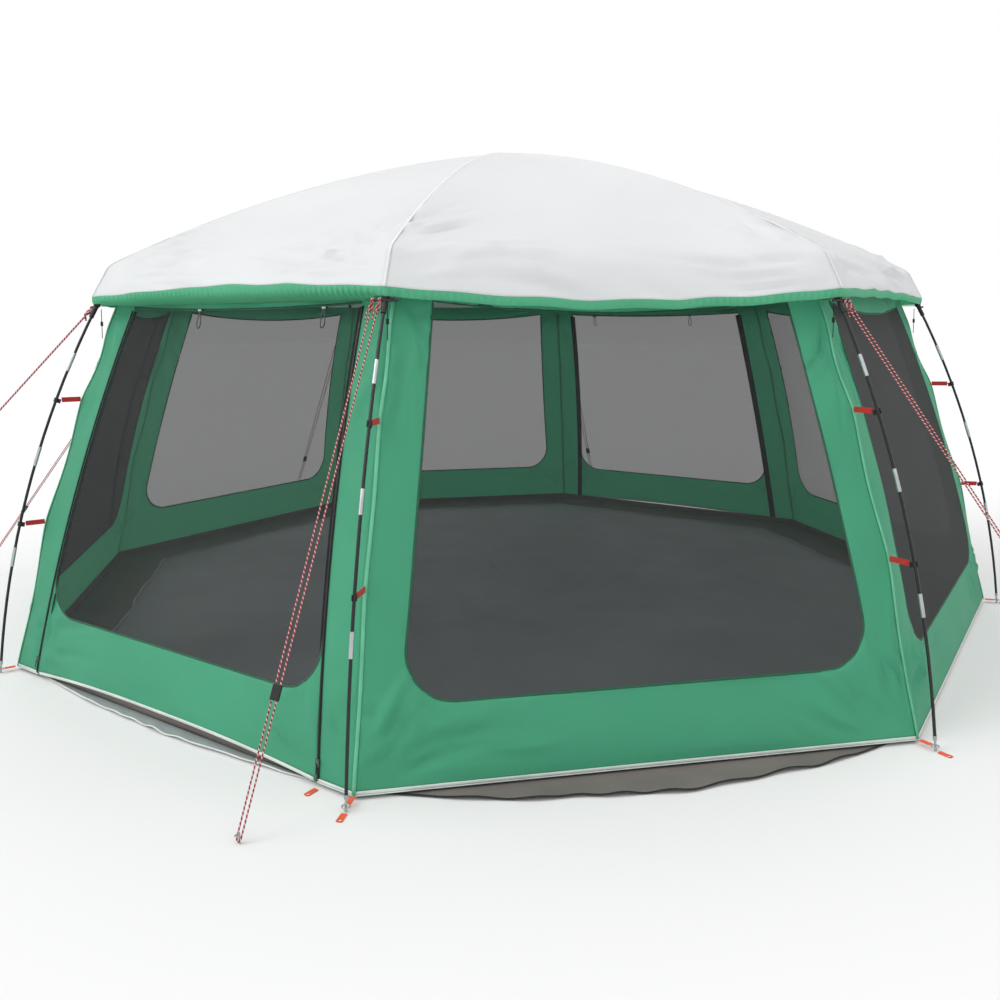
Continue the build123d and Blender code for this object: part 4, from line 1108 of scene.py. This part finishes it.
ground_rows = np.r_[np.linspace(0.02, FLAP_INNER_FLAT - 0.08, 76),
                    np.linspace(FLAP_INNER_FLAT - 0.06, GROUNDSHEET_FLAT, 8)]
ground = octagon_sheet(ground_rows, 37, floor_relief)
ground_points = np.vstack([ground.reshape(-1, 3), [(0, 0, float(ground[0, :, 2].mean()))]])
ground_faces = upside_down(grid_faces(*ground.shape[:2], closed=True))
ground_faces += fan_faces(0, ground.shape[1], len(ground_points) - 1)
sheet = thicken(piece("groundsheet_cloth", ground_points, ground_faces, floor_cloth), GROUNDSHEET_THICK)
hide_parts("groundsheet")

FLAP_RISE, FLAP_THICK = 0.032, 0.0009
BULGES = {0: (0.78, 0.06), 1: (0.86, 0.16)}  # half width and reach of the flap that shows under a wall


def flap(rows):
    """The flap's rings: its inner edge, its strip on the groundsheet and its upright lip."""
    inner, outer = FLAP_INNER_FLAT, GROUNDSHEET_FLAT - 0.003
    points = []
    for share, height in rows:
        flat = inner + (outer - inner) * share
        ring_points = []
        for number in range(SIDES):
            u = np.linspace(-1, 1, 61)[:-1]
            wave = (1 - u**4) * (0.009 * np.sin(7 * u + 1.3 * number) + 0.004 * np.sin(19 * u + number))
            here = flat + wave * (1 - share) - 0.002 * min(1, height / 0.02)
            ripple = (0.0018 + 0.0018 * np.sin(11 * u + 2 * number)) * (1 - u**6) * (share < 0.99)
            lift = 0.0032 + height + ripple
            ring_points.append(turned(np.stack([u * flat * tan(HALF), -here, lift], 1), number))
        points.append(np.vstack(ring_points))
    return np.array(points)


lip = [(1.0, 0.001), (1.0, FLAP_RISE / 2), (1.0, FLAP_RISE)]
strip = flap([(share, 0.0) for share in np.linspace(0, 0.98, 12)] + lip)
mud_faces = upside_down(grid_faces(*strip.shape[:2], closed=True))
mud = thicken(piece("mud_flap_cloth", strip.reshape(-1, 3), mud_faces, flap_cloth), FLAP_THICK)
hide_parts("mud_flap")
inner_edge = tube("mud_flap_edge", strip[0] + (0, 0, 0.0005), (0.005, 0.0012), flap_edge, closed=True,
                  across=strip[0] * (1, 1, 0))


def flap_bulge(number, place, finish, edge_finish):
    """The flap where it shows outside a wall: a crescent on the ground with a bound, uneven edge."""
    half, reach = BULGES[number]
    u = np.linspace(-1, 1, 91)
    share = np.linspace(0, 1, 14)[:, None]
    crescent = reach * (1 - u**2) * (1 + 0.05 * np.sin(9 * u + number) + 0.03 * np.sin(23 * u))
    x = half * u[None] + 0 * share
    y = -(GROUNDSHEET_FLAT - 0.006 + crescent[None] * share)
    folds = np.sin(31 * u + 2 * np.sin(5 * u + number))[None] * np.sin(share * 2.2)
    lift = 0.0045 + 0.004 * folds + 0.006 * share * np.sin(13 * u + 1)[None] ** 2
    lift = lift * (1 - u[None] ** 4) * share + 0.0036
    points = turned(np.stack([x, y, lift], -1), number)
    made = thicken(grid_piece(f"mud_flap_bulge_{place}", points, finish), FLAP_THICK)
    edge = tube(f"mud_flap_bulge_edge_{place}", points[-1], (0.0045, 0.0016), edge_finish,
                across=turned((0, -1.0, 0), number))


flap_bulge(0, "front", flap_front, piping)
flap_bulge(1, "right_front", flap_cloth, elastic_black)

# --- finishes of the CAD nodes that stay
KEPT = {
    pole_black: ("roof_poles", "leg_poles"),
    ferrule_steel: ("pole_ferrules",),
    pin_steel: ("foot_pins", "pin_rings", "ground_pegs"),
    hub_black: ("eave_hubs", "crown_hub"),
    clip_black: ("clip_hooks",),
    red_webbing: ("clip_straps",),
    orange_webbing: ("corner_straps",),
    black_webbing: ("eave_straps",),
    elastic_black: ("shock_cords", "corner_ties", *[n for n in nodes if "_zip_pull_" in n]),
    piping: ("hem_piping",),
    zip_metal: [n for n in nodes if "_slider_" in n],
    runner_black: [n for n in nodes if n.startswith("guy_runner_")],
}
for finish, names in KEPT.items():
    for name in names:
        nodes[name].data.materials.clear()
        nodes[name].data.materials.append(finish.m)

# --- floor, light
floor_finish = Finish("studio_floor", (228, 228, 228), 0.9)
floor_mesh = bpy.data.meshes.new("studio_floor")
FLOOR = 60  # half its width
floor_corners = [(x * FLOOR, y * FLOOR, 0) for x, y in ((-1, -1), (1, -1), (1, 1), (-1, 1))]
floor_mesh.from_pydata(floor_corners, [], [(0, 1, 2, 3)])
floor_mesh.materials.append(floor_finish.m)
floor = bpy.data.objects.new("studio_floor", floor_mesh)
bpy.context.scene.collection.objects.link(floor)

LEVEL_LIGHT, ZENITH_LIGHT = 0.62, 1.4  # soft light from the side and from above
BACKDROP = 1.0
world = bpy.data.worlds.new("studio")
world.use_nodes = True
sky = world.node_tree
background = sky.nodes["Background"]
background.inputs["Color"].default_value = (1, 1, 1, 1)


direction = add_node(sky, "ShaderNodeTexCoord").outputs["Generated"]
upward = add_node(sky, "ShaderNodeSeparateXYZ", {0: direction}).outputs[2]
limits = {"Value": upward, "To Min": LEVEL_LIGHT, "To Max": ZENITH_LIGHT}
dome_light = add_node(sky, "ShaderNodeMapRange", limits).outputs["Result"]
seen = add_node(sky, "ShaderNodeLightPath").outputs["Is Camera Ray"]
strength = add_node(sky, "ShaderNodeMapRange", {"Value": seen, "To Min": dome_light, "To Max": BACKDROP})
sky.links.new(strength.outputs["Result"], background.inputs["Strength"])
bpy.context.scene.world = world


def sun(name, from_direction, spread, power):
    data = bpy.data.lights.new(name, "SUN")
    data.angle = radians(spread)
    data.energy = power
    made = bpy.data.objects.new(name, data)
    made.rotation_euler = Vector(from_direction).to_track_quat("Z", "Y").to_euler()
    bpy.context.scene.collection.objects.link(made)


sun("key", (-0.55, -0.6, 0.6), 35, 1.0)
